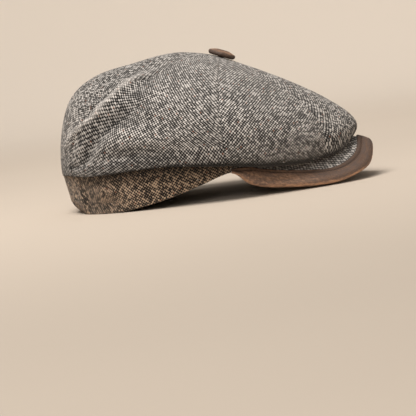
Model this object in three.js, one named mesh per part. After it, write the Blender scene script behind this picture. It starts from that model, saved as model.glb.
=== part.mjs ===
// A baker boy cap in tweed: six crown panels, headband, stiff peak with a leather binding, covered button.
// Millimetres. +X points to the wearer's front, +Y to the wearer's left, +Z up, and the cap stands on z = 0.
import * as THREE from 'three';

const { clamp, degToRad, euclideanModulo, lerp, radToDeg, smoothstep } = THREE.MathUtils;

// Driving dimensions
const GAP = 0.3; // clearance between neighbouring pieces
const CROWN_WALL = 2.2;
const CROWN_WALL_AT_SEAM = 1.3; // the crown thins towards its seam on the headband
const BAND_WALL = 2.6;
const BUTTON_SEAT = 118; // height of the crown where the button sits, on the line x = 0, y = 0
const BUTTON_TILT = 0.43; // forward fall of the crown under the button, as a slope
const SEAM_LAP = 0.9; // how far the crown laps over the headband's upper edge
const SEAM_CLEARANCE = 1.5 * GAP; // height of the crown's lower edge over the headband

// Seams of the crown, in degrees from the front, at the button and at the fullest point
const SEAMS = {
  front: { top: 31, hem: 37 },
  side: { top: 92, hem: 92 },
  rear: { top: 137, hem: 160 },
};
const SEAM_DIP = 1.1; // depth of the groove that a seam pulls into the cloth
const SEAM_SPREAD = 9; // how far from the seam the groove fades
const SEAM_BEVEL = 0.4; // how much further the inner face of a panel stops short of a seam

// Head opening, measured on the outside of the headband's lower edge
const HEAD_MIDDLE = -45; // how far the opening's middle lies behind the button
const HEAD_HALF_LENGTH = 100;
const HEAD_HALF_WIDTH = 84;

// Peak, measured to the outside of its leather binding
const PEAK_CENTRE = -6;
const PEAK_REACH = 127;
const PEAK_HALF_WIDTH = 81.5;
const PEAK_SQUARENESS = 2.35; // exponent of the outline, 2 is an ellipse
const PEAK_END = 88.4; // where the outline stops beside the headband, in degrees
const PEAK_THICKNESS = 4;
const PEAK_CAMBER = 1.2; // rise of the peak between its root and its edge
const CAMBER_WIDTH = 40; // width of the peak from which it has its full camber
const ROOT_LIFT = 2.8; // height of the peak's root above the headband's lower edge
const ROOT_CLEARANCE = 1.3 * GAP;

// Leather binding folded over the peak's outer edge
const LEATHER = 1.3;
const BINDING_WIDTH = 13.5;
const BINDING_WIDTH_BELOW = 12;
const BINDING_SHARE = 0.68; // most of the peak's width that the binding covers at its narrow ends
const BINDING_SHARE_BELOW = 0.6;
const BINDING_HALF = PEAK_THICKNESS / 2 + GAP + LEATHER;
const BEND_STEPS = [60, 25, -25, -60]; // degrees round the fold

const BUTTON_RADIUS = 12;
const BUTTON_HEIGHT = 5.4;
const BUTTON_SIDE = 1.3; // height at which the button is widest
const BUTTON_UNDERCUT = 1.4; // how much narrower its seat is
const BUTTON_DOME = [22, 42, 62, 78]; // degrees up the dome
const BUTTON_SIDES = 28;
const SHANK_RADIUS = 2.6;
const SHANK_LENGTH = 5;

// Crown profile in each direction, in degrees from the front. The dome runs from the button to the fullest
// point, `reach` out and `full` high, with handles `crest` along the slope at the button and `swell` out and
// `shoulder` up at the fullest point. It then turns under through `drop` towards the seam on the headband,
// which it meets `ease` out from and `ease_rise` above.
const CROWN = [
  { at: 0, reach: 109.8, full: 45, crest: 40, swell: 0, shoulder: 17, drop: 31, ease: 35, ease_rise: -5 },
  { at: 20, reach: 103.5, full: 40, crest: 40, swell: 0, shoulder: 21, drop: 9, ease: 30, ease_rise: -5 },
  { at: 45, reach: 100, full: 38, crest: 42, swell: 0, shoulder: 28, drop: 2, ease: 16, ease_rise: -4 },
  { at: 70, reach: 100, full: 42, crest: 45, swell: 0, shoulder: 36, drop: 2, ease: 8, ease_rise: 0 },
  { at: 95, reach: 104, full: 47, crest: 48, swell: 0, shoulder: 42, drop: 13, ease: 6, ease_rise: 0 },
  { at: 120, reach: 114, full: 49, crest: 45, swell: 0, shoulder: 54, drop: 23, ease: 5, ease_rise: 0 },
  { at: 150, reach: 140, full: 45, crest: 40, swell: -4, shoulder: 83, drop: 21, ease: 3, ease_rise: 0 },
  { at: 165, reach: 147.8, full: 44, crest: 39, swell: -5, shoulder: 97, drop: 29, ease: 1.5, ease_rise: 0 },
  { at: 180, reach: 151, full: 43, crest: 38, swell: -6, shoulder: 107, drop: 30, ease: 1, ease_rise: 0 },
];

// Places down a crown profile are counted 0 at the button, 1 at the fullest point, 2 at the headband seam
const TIP_PLACE = 0.028; // the panels' tips stop here, round the button's shank
const GROOVE = { start: 0.05, deep: 0.3, fade: 1.1, end: 1.6 };
const THINNING = { start: 1, end: 1.7 };
const DOME_ROWS = 15;
const UNDER_ROWS = 7;
const PANEL_COLUMNS = { front: 11, temple: 9, rear: 12, back: 10 };

// Soft folds of the crown, each from one direction and place to another
const FOLDS = [
  { from: -128, start: 0.3, to: -148, end: 1.2, width: 11, rise: -3.2 },
  { from: -134, start: 0.25, to: -160, end: 1.15, width: 7, rise: 2.6 },
  { from: -150, start: 0.35, to: -170, end: 1.1, width: 10, rise: -2 },
  { from: 130, start: 0.35, to: 147, end: 1.2, width: 12, rise: -2.8 },
  { from: 134, start: 0.25, to: 160, end: 1.1, width: 8, rise: 2.2 },
];

// Broad hollows and swellings of the crown: direction and place of the middle, and half spreads of both
const DENTS = [
  { at: 180, place: 0.46, spread: 55, length: 0.17, rise: -6 },
  { at: 180, place: 0.77, spread: 50, length: 0.1, rise: 2 },
];

// Headband in each direction from the opening's middle, in degrees from the front: heights of its lower
// and upper edges, and how far the upper edge stands out past the lower one
const BAND = [
  { at: 0, rim: 37, top: 46, flare: 0.5 },
  { at: 20, rim: 32, top: 43, flare: 1 },
  { at: 35, rim: 26, top: 40, flare: 2 },
  { at: 50, rim: 23, top: 38.5, flare: 3.5 },
  { at: 66, rim: 22, top: 38.5, flare: 5 },
  { at: 80, rim: 15.5, top: 39, flare: 6 },
  { at: 95, rim: 8.5, top: 40, flare: 6.5 },
  { at: 112, rim: 3, top: 41, flare: 6 },
  { at: 130, rim: 0, top: 40, flare: 5.5 },
  { at: 155, rim: 0, top: 36, flare: 5.5 },
  { at: 180, rim: 0, top: 33.5, flare: 5 },
];
const BAND_STEPS = 64;
const BAND_HEIGHTS = [0, 0.12, 0.4, 0.7, 0.97]; // shares of its height
const BAND_CORNER = 0.175; // share of the wall by which each corner of the lower edge is drawn in
const FLAT_DEPTH = 0.5; // how far the resting cloth is pressed flat

// Height of the peak's outer edge along its length, from the middle (0) to the end beside the band (1)
const PEAK_EDGE = [
  { at: 0, height: 29.5 },
  { at: 0.2, height: 14 },
  { at: 0.4, height: 4.2 },
  { at: 0.58, height: 3 },
  { at: 0.8, height: 6.2 },
  { at: 0.9, height: 10 },
  { at: 1, height: 20 },
];
const PEAK_STEPS = 40;
const PEAK_ROWS = 5;
const PEAK_NOSE = { out: 1.4, half: 1.2 }; // rounded edge of the board inside the binding

const TWEED = { color: 0x857d76, roughness: 0.95, metalness: 0 };
const DARK_TWEED = { color: 0x6b6058, roughness: 0.95, metalness: 0 };
const BROWN_LEATHER = { color: 0x5e4636, roughness: 0.6, metalness: 0 };

const NUDGE = 0.004; // step for the slope of a surface
const SHARE_NUDGE = 0.02; // the same, across the peak
const HALVINGS = 30; // steps of a search
const ARC_STEPS = 1200; // steps for the length of the peak's outline

const bell = (distance, width) => Math.exp(-((distance / width) ** 2));

// Smooth curve through one column of a table; the curve is level at both ends, as on a mirrored shape
function column(table, name, at) {
  const last = table.length - 1;
  const later = table.findIndex((row) => row.at >= at);
  const row = clamp((later < 0 ? last : later) - 1, 0, last - 1);
  const slope = (index) => {
    if (index === 0 || index === last) {
      return 0;
    }
    const before = table[index - 1];
    const after = table[index + 1];
    return (after[name] - before[name]) / (after.at - before.at);
  };
  const low = table[row];
  const high = table[row + 1];
  const span = high.at - low.at;
  const t = clamp((at - low.at) / span, 0, 1);
  const t2 = t * t;
  const t3 = t2 * t;
  return (2 * t3 - 3 * t2 + 1) * low[name] + (t3 - 2 * t2 + t) * span * slope(row)
    + (3 * t2 - 2 * t3) * high[name] + (t3 - t2) * span * slope(row + 1);
}

// Closed mesh from rings of points, each ring joined to the next, with flat caps or closed into a loop
function loft(rings, closed) {
  const width = rings[0].length;
  const points = rings.flat();
  const triangles = [];
  const quad = (a, b, c, d) => triangles.push(a, b, c, a, c, d);
  const last = closed ? rings.length : rings.length - 1;
  for (let ring = 0; ring < last; ring += 1) {
    const here = ring * width;
    const next = ((ring + 1) % rings.length) * width;
    for (let side = 0; side < width; side += 1) {
      const other = (side + 1) % width;
      quad(here + side, here + other, next + other, next + side);
    }
  }
  // A cap joins the two halves of a ring, which lie opposite each other
  const cap = (start, turned) => {
    for (let side = 0; side < width / 2 - 1; side += 1) {
      const ends = [side, width - 1 - side, width - 2 - side, side + 1];
      const corners = ends.map((index) => start + index);
      quad(...(turned ? corners.reverse() : corners));
    }
  };
  if (!closed) {
    cap(0, false);
    cap((rings.length - 1) * width, true);
  }
  return solid(points, triangles);
}

// Geometry with its faces pointing out
function solid(points, triangles) {
  let volume = 0;
  for (let index = 0; index < triangles.length; index += 3) {
    const [a, b, c] = triangles.slice(index, index + 3).map((corner) => points[corner]);
    volume += a.dot(b.clone().cross(c));
  }
  const geometry = new THREE.BufferGeometry().setFromPoints(points);
  geometry.setIndex(volume < 0 ? triangles.reverse() : triangles);
  geometry.computeVertexNormals();
  return geometry;
}

function named(name, geometry, finish) {
  const mesh = new THREE.Mesh(geometry, new THREE.MeshStandardMaterial(finish));
  mesh.name = name;
  return mesh;
}

// Cloth and leather that would reach below the surface are pressed flat on it
function restOnGround(ring) {
  ring.forEach((point) => {
    point.z = Math.max(point.z, 0);
  });
  return ring;
}

// Point on the headband's outer face: angle round the opening in radians, height fraction 0 to 1
function bandOuter(angle, fraction) {
  const at = Math.abs(radToDeg(angle));
  const out = column(BAND, 'flare', at) * fraction;
  return new THREE.Vector3(
    HEAD_MIDDLE + (HEAD_HALF_LENGTH + out) * Math.cos(angle),
    (HEAD_HALF_WIDTH + out) * Math.sin(angle),
    lerp(column(BAND, 'rim', at), column(BAND, 'top', at), fraction),
  );
}

// Angle round the opening at which the headband's edge lies in a direction from the button
function bandAngle(direction, fraction) {
  let low = 0;
  let high = Math.PI;
  for (let step = 0; step < HALVINGS; step += 1) {
    const middle = (low + high) / 2;
    const point = bandOuter(middle, fraction);
    if (Math.atan2(point.y, point.x) < Math.abs(direction)) {
      low = middle;
    } else {
      high = middle;
    }
  }
  return Math.sign(direction) * (low + high) / 2;
}

// Headband: a wall with rounded edges, pressed flat where it stands on the ground
function headband() {
  const rings = [];
  for (let step = 0; step < BAND_STEPS; step += 1) {
    const angle = ((step + 0.5) / BAND_STEPS) * 2 * Math.PI - Math.PI;
    const outward = [Math.cos(angle) * HEAD_HALF_WIDTH, Math.sin(angle) * HEAD_HALF_LENGTH, 0];
    const inward = new THREE.Vector3(...outward).normalize().negate();
    const outer = BAND_HEIGHTS.map((fraction) => bandOuter(angle, fraction));
    const inner = outer.map((point) => point.clone().addScaledVector(inward, BAND_WALL));
    outer[0].addScaledVector(inward, BAND_WALL * BAND_CORNER);
    inner[0].addScaledVector(inward, -BAND_WALL * BAND_CORNER);
    const foot = bandOuter(angle, 0).addScaledVector(inward, BAND_WALL / 2);
    foot.z -= FLAT_DEPTH;
    const head = bandOuter(angle, 1).addScaledVector(inward, BAND_WALL / 2);
    rings.push(restOnGround([foot, ...outer, head, ...inner.reverse()]));
  }
  return loft(rings, true);
}

// Direction of a seam, in degrees, at a place down the crown's profile
function seamAt(seam, place) {
  return lerp(seam.top, seam.hem, Math.min(place, 1) ** 2);
}

function bezier(points, t) {
  const s = 1 - t;
  const weights = [s * s * s, 3 * s * s * t, 3 * s * t * t, t * t * t];
  const sum = new THREE.Vector2();
  points.forEach((point, index) => sum.addScaledVector(point, weights[index]));
  return sum;
}

// Profile of the crown in one direction, as points (distance from the button's line, height)
function crownProfile(turn) {
  const direction = Math.atan2(Math.sin(turn), Math.cos(turn));
  const value = (name) => column(CROWN, name, Math.abs(radToDeg(direction)));
  const seam = bandOuter(bandAngle(direction, 1), 1);
  const seamOut = Math.hypot(seam.x, seam.y) - SEAM_LAP;
  const seamHeight = seam.z + SEAM_CLEARANCE;
  const fullest = new THREE.Vector2(value('reach'), value('full'));
  const crest = value('crest');
  const dome = [
    new THREE.Vector2(0, BUTTON_SEAT),
    new THREE.Vector2(crest, BUTTON_SEAT - BUTTON_TILT * Math.cos(direction) * crest),
    new THREE.Vector2(fullest.x + value('swell'), fullest.y + value('shoulder')),
    fullest,
  ];
  const under = [
    fullest,
    new THREE.Vector2(fullest.x, value('drop')),
    new THREE.Vector2(seamOut + value('ease'), seamHeight + value('ease_rise')),
    new THREE.Vector2(seamOut, seamHeight),
  ];
  return (place) => (place <= 1 ? bezier(dome, place) : bezier(under, place - 1));
}

const profiles = new Map();

function plainCrown(direction, place) {
  const key = direction.toFixed(9);
  if (!profiles.has(key)) {
    profiles.set(key, crownProfile(direction));
  }
  const point = profiles.get(key)(place);
  return new THREE.Vector3(point.x * Math.cos(direction), point.x * Math.sin(direction), point.y);
}

// How far the cloth stands in or out of the plain crown: seam grooves, folds and dents
function crownRelief(degrees, place, out) {
  const turned = (other) => Math.abs(euclideanModulo(degrees - other + 180, 360) - 180);
  const away = (other) => degToRad(turned(other)) * out;
  const deepening = smoothstep(place, GROOVE.start, GROOVE.deep);
  const groove = deepening * (1 - smoothstep(place, GROOVE.fade, GROOVE.end));
  let relief = 0;
  for (const seam of Object.values(SEAMS)) {
    const nearest = Math.min(away(seamAt(seam, place)), away(-seamAt(seam, place)));
    relief -= SEAM_DIP * groove * bell(nearest, SEAM_SPREAD);
  }
  for (const fold of FOLDS) {
    const along = clamp((place - fold.start) / (fold.end - fold.start), 0, 1);
    const line = lerp(fold.from, fold.to, along);
    relief += fold.rise * Math.sin(Math.PI * along) ** 2 * bell(away(line), fold.width);
  }
  for (const dent of DENTS) {
    relief += dent.rise * bell(turned(dent.at), dent.spread) * bell(place - dent.place, dent.length);
  }
  return relief;
}

function normalOf(surface, direction, place) {
  const across = surface(direction + NUDGE, place).sub(surface(direction - NUDGE, place));
  const below = surface(direction, Math.min(place + NUDGE, 2));
  const above = surface(direction, Math.max(place - NUDGE, TIP_PLACE - NUDGE));
  return below.sub(above).cross(across).normalize();
}

function crownPoint(direction, place) {
  const point = plainCrown(direction, place);
  const relief = crownRelief(radToDeg(direction), place, Math.hypot(point.x, point.y));
  return point.addScaledVector(normalOf(plainCrown, direction, place), relief);
}

// One crown panel between two seams: a ring of the outer face out and the inner face back at each row
function crownPanel(edgeFrom, edgeTo, columns) {
  const places = [];
  for (let row = 0; row < DOME_ROWS; row += 1) {
    places.push(lerp(TIP_PLACE, 1, row / DOME_ROWS));
  }
  for (let row = 0; row <= UNDER_ROWS; row += 1) {
    places.push(1 + row / UNDER_ROWS);
  }
  const rings = places.map((place) => {
    const outer = [];
    const inner = [];
    const wall = lerp(CROWN_WALL, CROWN_WALL_AT_SEAM, smoothstep(place, THINNING.start, THINNING.end));
    for (let step = 0; step <= columns; step += 1) {
      const direction = degToRad(lerp(edgeFrom(place), edgeTo(place), step / columns));
      const plain = plainCrown(direction, place);
      const inset = (1 - (2 * step) / columns) / Math.hypot(plain.x, plain.y);
      outer.push(crownPoint(direction + inset * (GAP / 2), place));
      const inside = direction + inset * (GAP / 2 + SEAM_BEVEL);
      inner.push(crownPoint(inside, place).addScaledVector(normalOf(crownPoint, inside, place), -wall));
    }
    return [...outer, ...inner.reverse()];
  });
  return loft(rings, false);
}

function crown() {
  const { front, side, rear } = SEAMS;
  const { front: frontColumns, temple, rear: rearColumns, back } = PANEL_COLUMNS;
  const edge = (seam, turn) => (place) => turn * seamAt(seam, place);
  const behind = (place) => 360 - seamAt(rear, place);
  const panels = {
    crown_front: crownPanel(edge(front, -1), edge(front, 1), frontColumns),
    crown_temple_left: crownPanel(edge(front, 1), edge(side, 1), temple),
    crown_temple_right: crownPanel(edge(side, -1), edge(front, -1), temple),
    crown_rear_left: crownPanel(edge(side, 1), edge(rear, 1), rearColumns),
    crown_rear_right: crownPanel(edge(rear, -1), edge(side, -1), rearColumns),
    crown_back: crownPanel(edge(rear, 1), behind, back),
  };
  return Object.entries(panels).map(([name, panel]) => named(name, panel, TWEED));
}

// Outline of the peak seen from above, from one end round the front to the other
class PeakOutline extends THREE.Curve {
  getPoint(t, target = new THREE.Vector3()) {
    const turn = degToRad(lerp(-PEAK_END, PEAK_END, t));
    const power = 2 / PEAK_SQUARENESS;
    const side = Math.sign(turn) * Math.abs(Math.sin(turn)) ** power;
    return target.set(PEAK_CENTRE + PEAK_REACH * Math.cos(turn) ** power, PEAK_HALF_WIDTH * side, 0);
  }
}

// One line across the middle of the peak's thickness, from its root on the headband to its outer edge
function peakLine(outline, along) {
  const edge = outline.getPointAt(along);
  edge.z = column(PEAK_EDGE, 'height', Math.abs(2 * along - 1));
  const aim = Math.atan2(edge.y / HEAD_HALF_WIDTH, (edge.x - HEAD_MIDDLE) / HEAD_HALF_LENGTH);
  const at = Math.abs(radToDeg(aim));
  const rim = column(BAND, 'rim', at);
  const upperFace = (ROOT_LIFT + PEAK_THICKNESS / 2) / (column(BAND, 'top', at) - rim);
  const root = bandOuter(aim, upperFace).setZ(rim + ROOT_LIFT);
  const away = new THREE.Vector3(edge.x - root.x, edge.y - root.y, 0);
  const camber = PEAK_CAMBER * Math.min(1, away.length() / CAMBER_WIDTH);
  root.addScaledVector(away.normalize(), ROOT_CLEARANCE);
  return (share) => {
    const point = root.clone().lerp(edge, share);
    point.z += camber * 4 * share * (1 - share);
    return point;
  };
}

// Frames across the peak: its line, its width and its upward normal at steps along the edge
function peakFrames() {
  const outline = new PeakOutline();
  outline.arcLengthDivisions = ARC_STEPS;
  const frames = [];
  for (let step = 0; step <= PEAK_STEPS; step += 1) {
    const along = step / PEAK_STEPS;
    const line = peakLine(outline, along);
    const before = peakLine(outline, Math.max(along - NUDGE, 0));
    const after = peakLine(outline, Math.min(along + NUDGE, 1));
    const normalAt = (share) => {
      const sideways = after(share).sub(before(share));
      const further = line(Math.min(share + SHARE_NUDGE, 1));
      const nearer = line(Math.max(share - SHARE_NUDGE, 0));
      return sideways.cross(further.sub(nearer)).normalize().negate();
    };
    frames.push({ line, normalAt, width: line(1).distanceTo(line(0)) });
  }
  return frames;
}

// Point in a frame: distance in from the outer edge, and height over the middle of the peak
function inFrame(frame, inset, height) {
  const share = 1 - inset / frame.width;
  return frame.line(share).addScaledVector(frame.normalAt(clamp(share, 0, 1)), height);
}

// Peak: a board of even thickness with an upright root and a rounded edge inside the binding
function peak(frames) {
  const half = PEAK_THICKNESS / 2;
  const rings = frames.map((frame) => {
    const root = frame.line(0);
    const above = [root.clone().setZ(root.z + half)];
    const below = [root.clone().setZ(root.z - half)];
    for (let row = 1; row <= PEAK_ROWS; row += 1) {
      const inset = lerp(frame.width, BINDING_HALF, row / PEAK_ROWS);
      above.push(inFrame(frame, inset, half));
      below.push(inFrame(frame, inset, -half));
    }
    above.push(inFrame(frame, BINDING_HALF - PEAK_NOSE.out, PEAK_NOSE.half));
    below.push(inFrame(frame, BINDING_HALF - PEAK_NOSE.out, -PEAK_NOSE.half));
    return [...above, ...below.reverse()];
  });
  return loft(rings, false);
}

// Leather binding: a channel folded round the peak's edge, narrowing towards both ends
function peakBinding(frames) {
  const rings = frames.map((frame) => {
    const wide = Math.min(BINDING_WIDTH, frame.width * BINDING_SHARE);
    const wideBelow = Math.min(BINDING_WIDTH_BELOW, frame.width * BINDING_SHARE_BELOW);
    const face = (radius) => [
      inFrame(frame, wide, radius),
      inFrame(frame, BINDING_HALF, radius),
      ...BEND_STEPS.map((degrees) => {
        const turn = degToRad(degrees);
        return inFrame(frame, BINDING_HALF - radius * Math.cos(turn), radius * Math.sin(turn));
      }),
      inFrame(frame, BINDING_HALF, -radius),
      inFrame(frame, wideBelow, -radius),
    ];
    return restOnGround([...face(BINDING_HALF), ...face(BINDING_HALF - LEATHER).reverse()]);
  });
  return loft(rings, false);
}

// Button: a domed cap over a flat seat, with a plain shank down through the panel tips
function button() {
  const profile = [
    new THREE.Vector2(0, -SHANK_LENGTH),
    new THREE.Vector2(SHANK_RADIUS, -SHANK_LENGTH),
    new THREE.Vector2(SHANK_RADIUS, 0),
    new THREE.Vector2(BUTTON_RADIUS - BUTTON_UNDERCUT, 0),
    new THREE.Vector2(BUTTON_RADIUS, BUTTON_SIDE),
  ];
  for (const degrees of BUTTON_DOME) {
    const rise = (BUTTON_HEIGHT - BUTTON_SIDE) * Math.sin(degToRad(degrees));
    profile.push(new THREE.Vector2(BUTTON_RADIUS * Math.cos(degToRad(degrees)), BUTTON_SIDE + rise));
  }
  profile.push(new THREE.Vector2(0, BUTTON_HEIGHT));
  const geometry = new THREE.LatheGeometry(profile, BUTTON_SIDES);
  geometry.rotateX(Math.PI / 2);
  const mesh = named('button', geometry, BROWN_LEATHER);
  mesh.rotation.y = Math.atan(BUTTON_TILT);
  mesh.position.z = BUTTON_SEAT + GAP;
  return mesh;
}

const frames = peakFrames();
const cap = new THREE.Group();
cap.add(...crown());
cap.add(named('headband', headband(), DARK_TWEED));
cap.add(named('peak', peak(frames), TWEED));
cap.add(named('peak_binding', peakBinding(frames), BROWN_LEATHER));
cap.add(button());

// The origin is under the middle of the cap, at the level that it stands on
const box = new THREE.Box3().setFromObject(cap, true);
const middle = box.getCenter(new THREE.Vector3());
cap.position.set(-middle.x, -middle.y, -box.min.z);

export default cap;
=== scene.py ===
"""Looks of a tweed baker boy cap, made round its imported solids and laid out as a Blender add-on.

Shapes are worked out in millimetres from the line down through the button, with +X to the front, +Y to the
wearer's left and +Z up. They are moved into the frame, in metres, when a mesh is made.
"""

import math
from collections import namedtuple

import bpy
import numpy as np
from bpy.props import FloatProperty, FloatVectorProperty, PointerProperty
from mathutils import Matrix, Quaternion, Vector


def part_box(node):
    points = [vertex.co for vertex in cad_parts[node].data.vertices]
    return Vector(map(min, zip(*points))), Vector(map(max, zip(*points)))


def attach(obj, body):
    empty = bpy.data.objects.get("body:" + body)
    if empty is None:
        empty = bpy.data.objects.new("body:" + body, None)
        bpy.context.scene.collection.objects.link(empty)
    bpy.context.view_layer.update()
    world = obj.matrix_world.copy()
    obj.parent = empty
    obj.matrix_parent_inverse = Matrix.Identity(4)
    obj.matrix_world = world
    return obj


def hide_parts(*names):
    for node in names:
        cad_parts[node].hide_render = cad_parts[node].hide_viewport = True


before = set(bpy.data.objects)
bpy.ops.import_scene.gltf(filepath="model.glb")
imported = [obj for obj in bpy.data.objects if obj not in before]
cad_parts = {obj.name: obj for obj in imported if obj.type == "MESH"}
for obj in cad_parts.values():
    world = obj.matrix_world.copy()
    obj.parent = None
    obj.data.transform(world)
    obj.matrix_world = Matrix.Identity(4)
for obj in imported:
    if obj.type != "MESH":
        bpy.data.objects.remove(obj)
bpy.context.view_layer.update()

bl_info = {
    "name": "Baker Boy Cap",
    "version": (1, 0, 0),
    "blender": (4, 5, 0),
    "location": "View3D > Sidebar > Cap",
    "description": "Makes a tweed baker boy cap with a leather-bound peak on a plain stage",
    "category": "Add Mesh",
}

MM = 0.001
BODY = "root"
WEAVE = "weave"
LEATHER_SLOT = "leather"
TWEED_SLOT = "tweed"
BAND_SLOT = "band_tweed"


# Shape of the cap, in millimetres and degrees

BUTTON_SEAT = 118
BUTTON_TILT = 0.43
SEAM_LAP = 0.9
SEAM_CLEARANCE = 0.45
HEAD_MIDDLE = -45
HEAD_HALF_LENGTH = 100
HEAD_HALF_WIDTH = 84
PEAK_CENTRE = -6
PEAK_REACH = 127
PEAK_HALF_WIDTH = 81.5
PEAK_SQUARENESS = 2.35
PEAK_END = 88.4
PEAK_HALF = 2.0
PEAK_CAMBER = 1.2
CAMBER_WIDTH = 40
ROOT_LIFT = 2.8
ROOT_CLEARANCE = 0.39
END_THINNESS = 0.42
END_LENGTH = 16
TIP_PLACE = 0.028

# The peak's front edge bends down, and its leather is wider beside the cap: shares off its middle
DROOP = 3.6
DROOP_WIDTH = 15
DROOP_OFF = (0.05, 0.2)
BESIDE_OFF = (0.16, 0.34)

Seam = namedtuple("Seam", "top hem dip roll ridge")
SEAMS = {
    "front": Seam(31, 37, 1.1, 0.5, 0.0),
    "side": Seam(92, 92, 0.6, 0.4, 0.0),
    "rear": Seam(137, 160, 0.3, 0.45, 0.6),
}
SEAM_SPREAD = 9
SEAM_ROLL_WIDTH = 1.0
SEAM_RIDGE_WIDTH = 3.2
SEAM_RIDGE_OFFSET = 2.8

# Places between which the dips, rolls and ridges of the seams begin and end
DIP_GROWS = (0.05, 0.3)
DIP_ENDS = (1.1, 1.6)
ROLL_GROWS = (0.03, 0.12)
SEAM_RIDGE_GROWS = (0.25, 0.55)

# A fold runs down the crown from one direction and place to another
Fold = namedtuple("Fold", "at start to end width rise")
FOLDS = (
    Fold(-152, 0.12, -130, 0.86, 12, -5.0),
    Fold(-124, 0.62, -152, 1.00, 13, -5.6),
    Fold(-140, 0.82, -160, 1.12, 9, -5.0),
    Fold(-140, 0.36, -136, 1.05, 24, -1.8),
    Fold(-153, 0.30, -163, 0.85, 9, -1.8),
    Fold(130, 0.35, 147, 1.20, 12, -2.8),
    Fold(134, 0.25, 160, 1.10, 8, 2.2),
)

# A dent, or a swelling where its rise is above zero, lies round one direction and place
Dent = namedtuple("Dent", "at place spread length rise")
BACK_SHAPE = (
    Dent(180, 0.46, 55, 0.17, -6.0),
    Dent(180, 0.77, 50, 0.10, 2.0),
)
DENTS = (
    Dent(-128, 0.945, 15, 0.045, 2.2),
    Dent(-132, 0.83, 11, 0.045, -3.0),
    Dent(-152, 0.71, 5, 0.035, -2.0),
    Dent(-158, 0.74, 5, 0.035, -1.8),
    Dent(-153, 0.81, 4, 0.03, -1.6),
    Dent(-150, 0.62, 4, 0.03, -1.6),
    Dent(-137, 1.00, 10, 0.05, -2.2),
    Dent(-26, 0.80, 10, 0.08, -1.0),
    Dent(125, 0.95, 15, 0.06, 2.0),
)

# Swellings and creases of the headband: round the opening and as a share of its height
BAND_DENTS = (
    Dent(-127, 0.48, 11, 0.16, 2.2),
    Dent(-128, 0.20, 8, 0.12, -1.4),
    Dent(-112, 0.30, 8, 0.18, 1.2),
    Dent(-141, 0.40, 4, 0.40, -1.4),
    Dent(-149, 0.25, 5, 0.30, 1.0),
    Dent(150, 0.40, 7, 0.30, -1.2),
    Dent(122, 0.45, 12, 0.18, 1.6),
)


def table(names, *rows):
    """A table of numbers as one array for each named column."""
    return dict(zip(names.split(), np.array(rows, float).T))


CROWN = table(
    "at reach full crest swell shoulder drop ease ease_rise",
    (0, 109.8, 45, 40, 0, 17, 31, 35, -5),
    (20, 103.5, 40, 40, 0, 21, 9, 30, -5),
    (45, 100, 38, 42, 0, 28, 2, 16, -4),
    (70, 100, 42, 45, 0, 36, 2, 8, 0),
    (95, 104, 47, 48, 0, 42, 13, 6, 0),
    (120, 114, 49, 45, 0, 54, 23, 5, 0),
    (150, 140, 45, 40, -4, 83, 21, 3, 0),
    (165, 147.8, 44, 39, -5, 97, 29, 1.5, 0),
    (180, 151, 43, 38, -6, 107, 30, 1, 0),
)
BAND = table(
    "at rim top flare",
    (0, 37, 46, 0.5),
    (20, 32, 43, 1),
    (35, 26, 40, 2),
    (50, 23, 38.5, 3.5),
    (66, 22, 38.5, 5),
    (80, 15.5, 39, 6),
    (95, 8.5, 40, 6.5),
    (112, 3, 41, 6),
    (130, 0, 40, 5.5),
    (155, 0, 36, 5.5),
    (180, 0, 33.5, 5),
)
PEAK_EDGE = table("at height", (0, 29.5), (0.2, 14), (0.4, 4.2), (0.58, 3), (0.8, 6.2), (0.9, 10), (1, 20))

# The sharp ridge that the cloth folds into beside the right rear seam, from its top down
RIDGE = table(
    "at turn",
    (0.36, -149),
    (0.49, -147),
    (0.67, -145),
    (0.81, -148),
    (0.86, -153),
    (0.91, -159),
    (0.97, -168),
)
RIDGE_HEIGHT = 3.0
RIDGE_SPREAD = 5.0
RIDGE_GROWS = (0, 0.3)
RIDGE_ENDS = (0.9, 1)
# Width of the raised nap and painted highlight along the ridge
NAP_AND_LIGHT_WIDTH = 2.3

# Slow unevenness of a surface: its height, the lengths of its waves and the seed of their directions
Ripple = namedtuple("Ripple", "height waves seed")
RIPPLES = {
    "crown": Ripple(0.22, (46, 31, 23, 37), 5),
    "band": Ripple(0.25, (31, 19, 24), 11),
    "pucker": Ripple(0.5, (14, 11), 3),
    "peak": Ripple(0.12, (13, 9, 17), 21),
    "binding": Ripple(0.1, (7, 5, 9), 31),
    "button": Ripple(0.16, (8, 6, 11), 41),
}

# Painted shade on the crown's cloth where it turns under, in all and behind, and where it stands upright
UNDER_SHADE = 0.74
UNDER_SHADE_BEHIND = 0.35
UPRIGHT_SHADE = 0.26
UNDER_SLOPES = (0.05, 0.6)
UPRIGHT_SLOPES = (-0.1, 0.8)

# The cap's rearmost point is the fullest point of its back panel
BUTTON_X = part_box("crown_back")[0].x / MM + CROWN["reach"][-1]
TO_FRAME = np.array([BUTTON_X, 0.0, 0.0])

# Fineness of the meshes
DOME_ROWS = 120
UNDER_ROWS = 34
EDGE_STEPS = np.array([0.06, 0.45, 0.9, 1.5, 2.3, 3.3])
RIDGE_POINTS = 40
OUTLINE_POINTS = 4001
NUDGE = 0.004
SHARE_NUDGE = 0.02
HALVINGS = 26


# Settings


def length_setting(name, description, metres):
    return FloatProperty(name=name, description=description, default=metres, unit="LENGTH")


def angle_setting(name, description, degrees):
    return FloatProperty(name=name, description=description, default=math.radians(degrees), subtype="ANGLE")


def power_setting(name, description, watts):
    return FloatProperty(name=name, description=description, default=watts, unit="POWER")


def colour_setting(name, description, colour):
    return FloatVectorProperty(name=name, description=description, default=colour, size=3, subtype="COLOR")


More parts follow.
